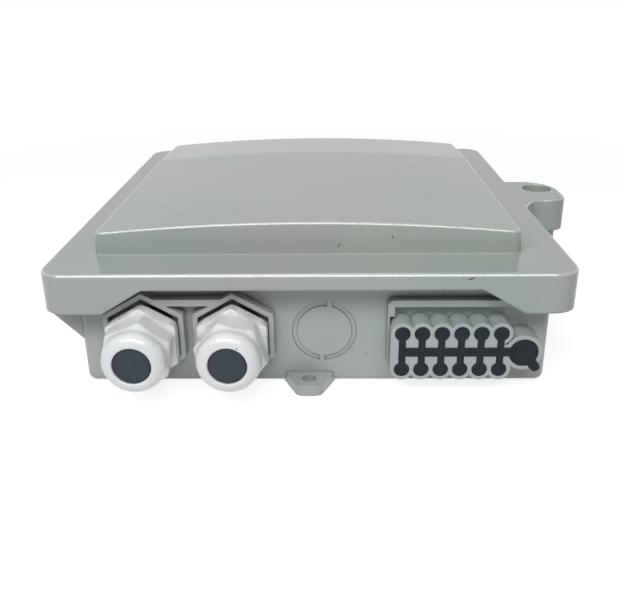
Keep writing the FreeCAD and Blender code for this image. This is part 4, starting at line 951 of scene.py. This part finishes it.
@dataclass
class PortComb:
    """The rubber comb in the drop-port block: round plugs, stems, spine and pull tab.

    Stems and spine start a little behind the plugs' faces, by stem_set and spine_set.
    """

    first_x: float = 43.1 * MM
    pitch: float = 9.0 * MM
    columns: int = 6
    rows_z: tuple[float, float] = (31.0 * MM, 12.9 * MM)
    pin_radius: float = 3.55 * MM
    big_place: tuple[float, float] = (98.9 * MM, 21.4 * MM)
    big_radius: float = 6.75 * MM
    stem_width: float = 3.2 * MM
    spine_z: float = 21.8 * MM
    spine_height: float = 4.5 * MM
    tail_width: float = 4.6 * MM
    tail_reach: float = 11.6 * MM
    tail_angle: float = -52.0
    edge: float = 0.45 * MM
    crown: float = 0.12 * MM
    depth: float = 5.1 * MM
    stem_set: float = 0.05 * MM
    spine_set: float = 0.02 * MM

    def pin(self, x: float, z: float, radius: float, front: float, back: float) -> Patch:
        """Make a round plug along Y with a soft front edge and a barely domed face.

        Args:
            x: Its place across.
            z: Its place upwards.
            radius: Its radius.
            front: Y of its face.
            back: Y of its end.

        Returns:
            The plug's surface.
        """
        across = np.linspace(0, radius - self.edge, 6)
        face = np.stack([across, -self.crown * (across / radius) ** 2], axis=-1)
        rim = arc_points((radius - self.edge, -self.edge - 0.1 * MM), self.edge, 85, 0, 5)
        foot = np.array([[radius, front - back], [0.0, front - back]])
        patch = turned(np.vstack([face, rim, foot]), 48, False)
        return carried(patch, np.array([x, front, z]))

    def build(self) -> None:
        """Build and dress the comb."""
        low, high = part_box("port_seal")
        front, back = low[1], high[1]
        depth = front + self.depth
        xs = self.first_x + self.pitch * np.arange(self.columns)
        made = self.pin(*self.big_place, self.big_radius, front, back)
        for x in xs:
            for z in self.rows_z:
                made = made + self.pin(x, z, self.pin_radius, front, back)
            half = self.stem_width / 2
            made = made + rounded_block((x - half, front + self.stem_set, self.rows_z[1]),
                                        (x + half, depth, self.rows_z[0]), self.edge)
        half = self.spine_height / 2
        made = made + rounded_block((xs[0], front + self.spine_set, self.spine_z - half),
                                    (self.big_place[0], depth, self.spine_z + half), self.edge)
        made = made + self.tail(front, depth)
        piece = shape_of("port_comb", made, 1e-7)
        smooth(piece, 45)
        stand_for(piece, "port_seal", "box", Finish.COMB)

    def tail(self, front: float, back: float) -> Patch:
        """Make the pull tab: a round-ended bar that leaves the large plug at an angle.

        Args:
            front: Y of its face.
            back: Y of its end.

        Returns:
            The tab's surface.
        """
        half = self.tail_width / 2
        bar = stadium_bar(self.tail_reach - half, half, front, back, self.edge)
        lean = np.array(Matrix.Rotation(math.radians(-self.tail_angle), 3, "Y"))
        place = np.array([self.big_place[0], 0, self.big_place[1]])
        return Patch(bar.points @ lean.T + place, bar.faces)


@dataclass
class Insides:
    """What the box holds: tray, holder, bracket, adapters, caps, clamps, guides and hardware."""

    finishes: dict[Finish, tuple[str, ...]] = field(default_factory=lambda: {
        Finish.TRAY: ("splice_tray", "splice_holder", "fibre_guides", "cable_clamp_left",
                      "cable_clamp_right"),
        Finish.CLEAR: ("tray_cover",), Finish.SHEET: ("adapter_bracket",),
        Finish.CAP: ("adapter_dust_caps",),
        Finish.STEEL: ("clamp_screws", "tray_screws", "bracket_screws", "hinge_pin_lower",
                       "hinge_pin_upper", "lock_bolt", "lock_cross_pin")})

    def build(self) -> None:
        """Dress the inner pieces."""
        for finish, nodes in self.finishes.items():
            for node in nodes:
                dress(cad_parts[node], finish)
        for node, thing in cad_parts.items():
            if node.startswith("adapter_") and node[-1].isdigit():
                dress(thing, Finish.ADAPTER)


# Surroundings


@dataclass(frozen=True)
class Lamp:
    """A soft rectangular lamp that faces a point, in metres and watts."""

    name: str
    place: tuple[float, float, float]
    aim: tuple[float, float, float]
    size: tuple[float, float]
    power: float

    def hang(self) -> None:
        """Put the lamp into the scene."""
        data = bpy.data.lights.new(self.name, "AREA")
        data.shape = "RECTANGLE"
        data.size, data.size_y = self.size
        data.energy = self.power
        holder = bpy.data.objects.new(self.name, data)
        holder.location = self.place
        sight = Vector(self.aim) - Vector(self.place)
        holder.rotation_euler = sight.to_track_quat("-Z", "Y").to_euler()
        bpy.context.scene.collection.objects.link(holder)


@dataclass
class Studio:
    """White sweep, soft lamps and the camera at the photograph's angle, which is in degrees."""

    focal_px: float = 759.908
    frame_px: float = 624.0
    sensor: float = 36.0
    place: tuple[float, float, float] = (8.892 * MM, -445.709 * MM, 181.591 * MM)
    pitch: float = 22.712
    yaw: float = -1.280
    roll: float = -0.680
    fill: float = 0.1
    floor_size: float = 8.0
    floor_drop: float = 0.4 * MM
    fade_start: float = 0.3
    fade_end: float = 0.6
    lamps: tuple[Lamp, ...] = (
        Lamp("front_lamp", (-0.12, -0.66, 0.69), (0, -0.08, 0.03), (1.1, 0.35), 7.6),
        Lamp("top_lamp", (-0.08, 0.04, 1.0), (0, -0.02, 0.05), (1.0, 0.12), 1.5))

    def camera(self) -> None:
        """Put the camera where the photograph was taken from.

        It looks down by the pitch, is turned about the vertical by the yaw and rolled about its own
        line of sight.
        """
        pitch, yaw, roll = (math.radians(v) for v in (self.pitch, self.yaw, self.roll))
        level = math.cos(pitch)
        ahead = Vector((math.sin(yaw) * level, math.cos(yaw) * level, -math.sin(pitch)))
        right = Vector((math.cos(yaw), -math.sin(yaw), 0))
        up = right.cross(ahead)
        right_rolled = math.cos(roll) * right + math.sin(roll) * up
        up_rolled = -math.sin(roll) * right + math.cos(roll) * up
        data = bpy.data.cameras.new("camera")
        data.sensor_width = self.sensor
        data.lens = self.focal_px / self.frame_px * self.sensor
        data.clip_start, data.clip_end = 0.01, 20.0
        holder = bpy.data.objects.new("camera", data)
        turn = Matrix((right_rolled, up_rolled, -ahead)).transposed()
        holder.matrix_world = Matrix.Translation(Vector(self.place)) @ turn.to_4x4()
        bpy.context.scene.collection.objects.link(holder)
        bpy.context.scene.camera = holder

    def floor(self) -> None:
        """Lay a wide floor that shows white to the camera and keeps a soft shadow."""
        bpy.ops.mesh.primitive_plane_add(size=self.floor_size, location=(0, 0, -self.floor_drop))
        ground = bpy.context.object
        ground.name = "floor"
        made, place = blank("white_paper_floor")
        paper = spot(made, "BsdfDiffuse", {"Color": linear("F2F3F4")})
        shade = spot(made, "BsdfDiffuse", {"Color": linear("A8AAAC")})
        glow = spot(made, "Emission", {"Strength": 0.8})
        white = spot(made, "Emission", {"Strength": 1.0})
        seen = self.seen(made)
        lit = spot(made, "AddShader", None, {0: shade.outputs[0], 1: glow.outputs[0]})
        reach = spot(made, "VectorMath", {"operation": "LENGTH"}, {0: place})
        far = spot(made, "MapRange", {"From Min": self.fade_start, "From Max": self.fade_end},
                   {"Value": reach.outputs["Value"]})
        faded = spot(made, "MixShader", None,
                     {0: far.outputs[0], 1: lit.outputs[0], 2: white.outputs[0]})
        both = spot(made, "MixShader", None,
                    {0: seen.outputs[0], 1: paper.outputs[0], 2: faded.outputs[0]})
        spot(made, "OutputMaterial", None, {"Surface": both.outputs[0]})
        ground.data.materials.append(made)

    def seen(self, owner: Material | World) -> Node:
        """Tell rays from the camera, a reflection or a clear sheet from those that only light.

        Args:
            owner: The material or world.

        Returns:
            The node that gives one for them and else nothing.
        """
        ray = spot(owner, "LightPath")
        near = spot(owner, "Math", {"operation": "MAXIMUM"},
                    {0: ray.outputs["Is Camera Ray"], 1: ray.outputs["Is Glossy Ray"]})
        return spot(owner, "Math", {"operation": "MAXIMUM"},
                    {0: near.outputs[0], 1: ray.outputs["Is Transmission Ray"]})

    def world(self) -> None:
        """Make a white surround that the camera and reflections see, and a dimmer one that lights."""
        world = bpy.data.worlds.new("surround")
        bpy.context.scene.world = world
        world.use_nodes = True
        world.node_tree.nodes.clear()
        shown = spot(world, "Background", {"Color": (1, 1, 1, 1), "Strength": 1.0})
        light = spot(world, "Background", {"Color": (1, 1, 1, 1), "Strength": self.fill})
        both = spot(world, "MixShader", None,
                    {0: self.seen(world).outputs[0], 1: light.outputs[0], 2: shown.outputs[0]})
        spot(world, "OutputWorld", None, {"Surface": both.outputs[0]})

    def build(self) -> None:
        """Build the whole surroundings."""
        self.camera()
        self.floor()
        self.world()
        for lamp in self.lamps:
            lamp.hang()
        bpy.context.scene.view_settings.view_transform = "Standard"


def main() -> None:
    """Build everything in order."""
    logging.basicConfig(level=logging.INFO)
    wall_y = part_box("gland_washer_left")[1][1]
    Studio().build()
    Shells().build()
    for side, spin in (("left", -8.0), ("right", 17.0)):
        Gland(side, spin, wall_y).build()
    PortComb().build()
    Insides().build()


if __name__ == "__main__":
    main()
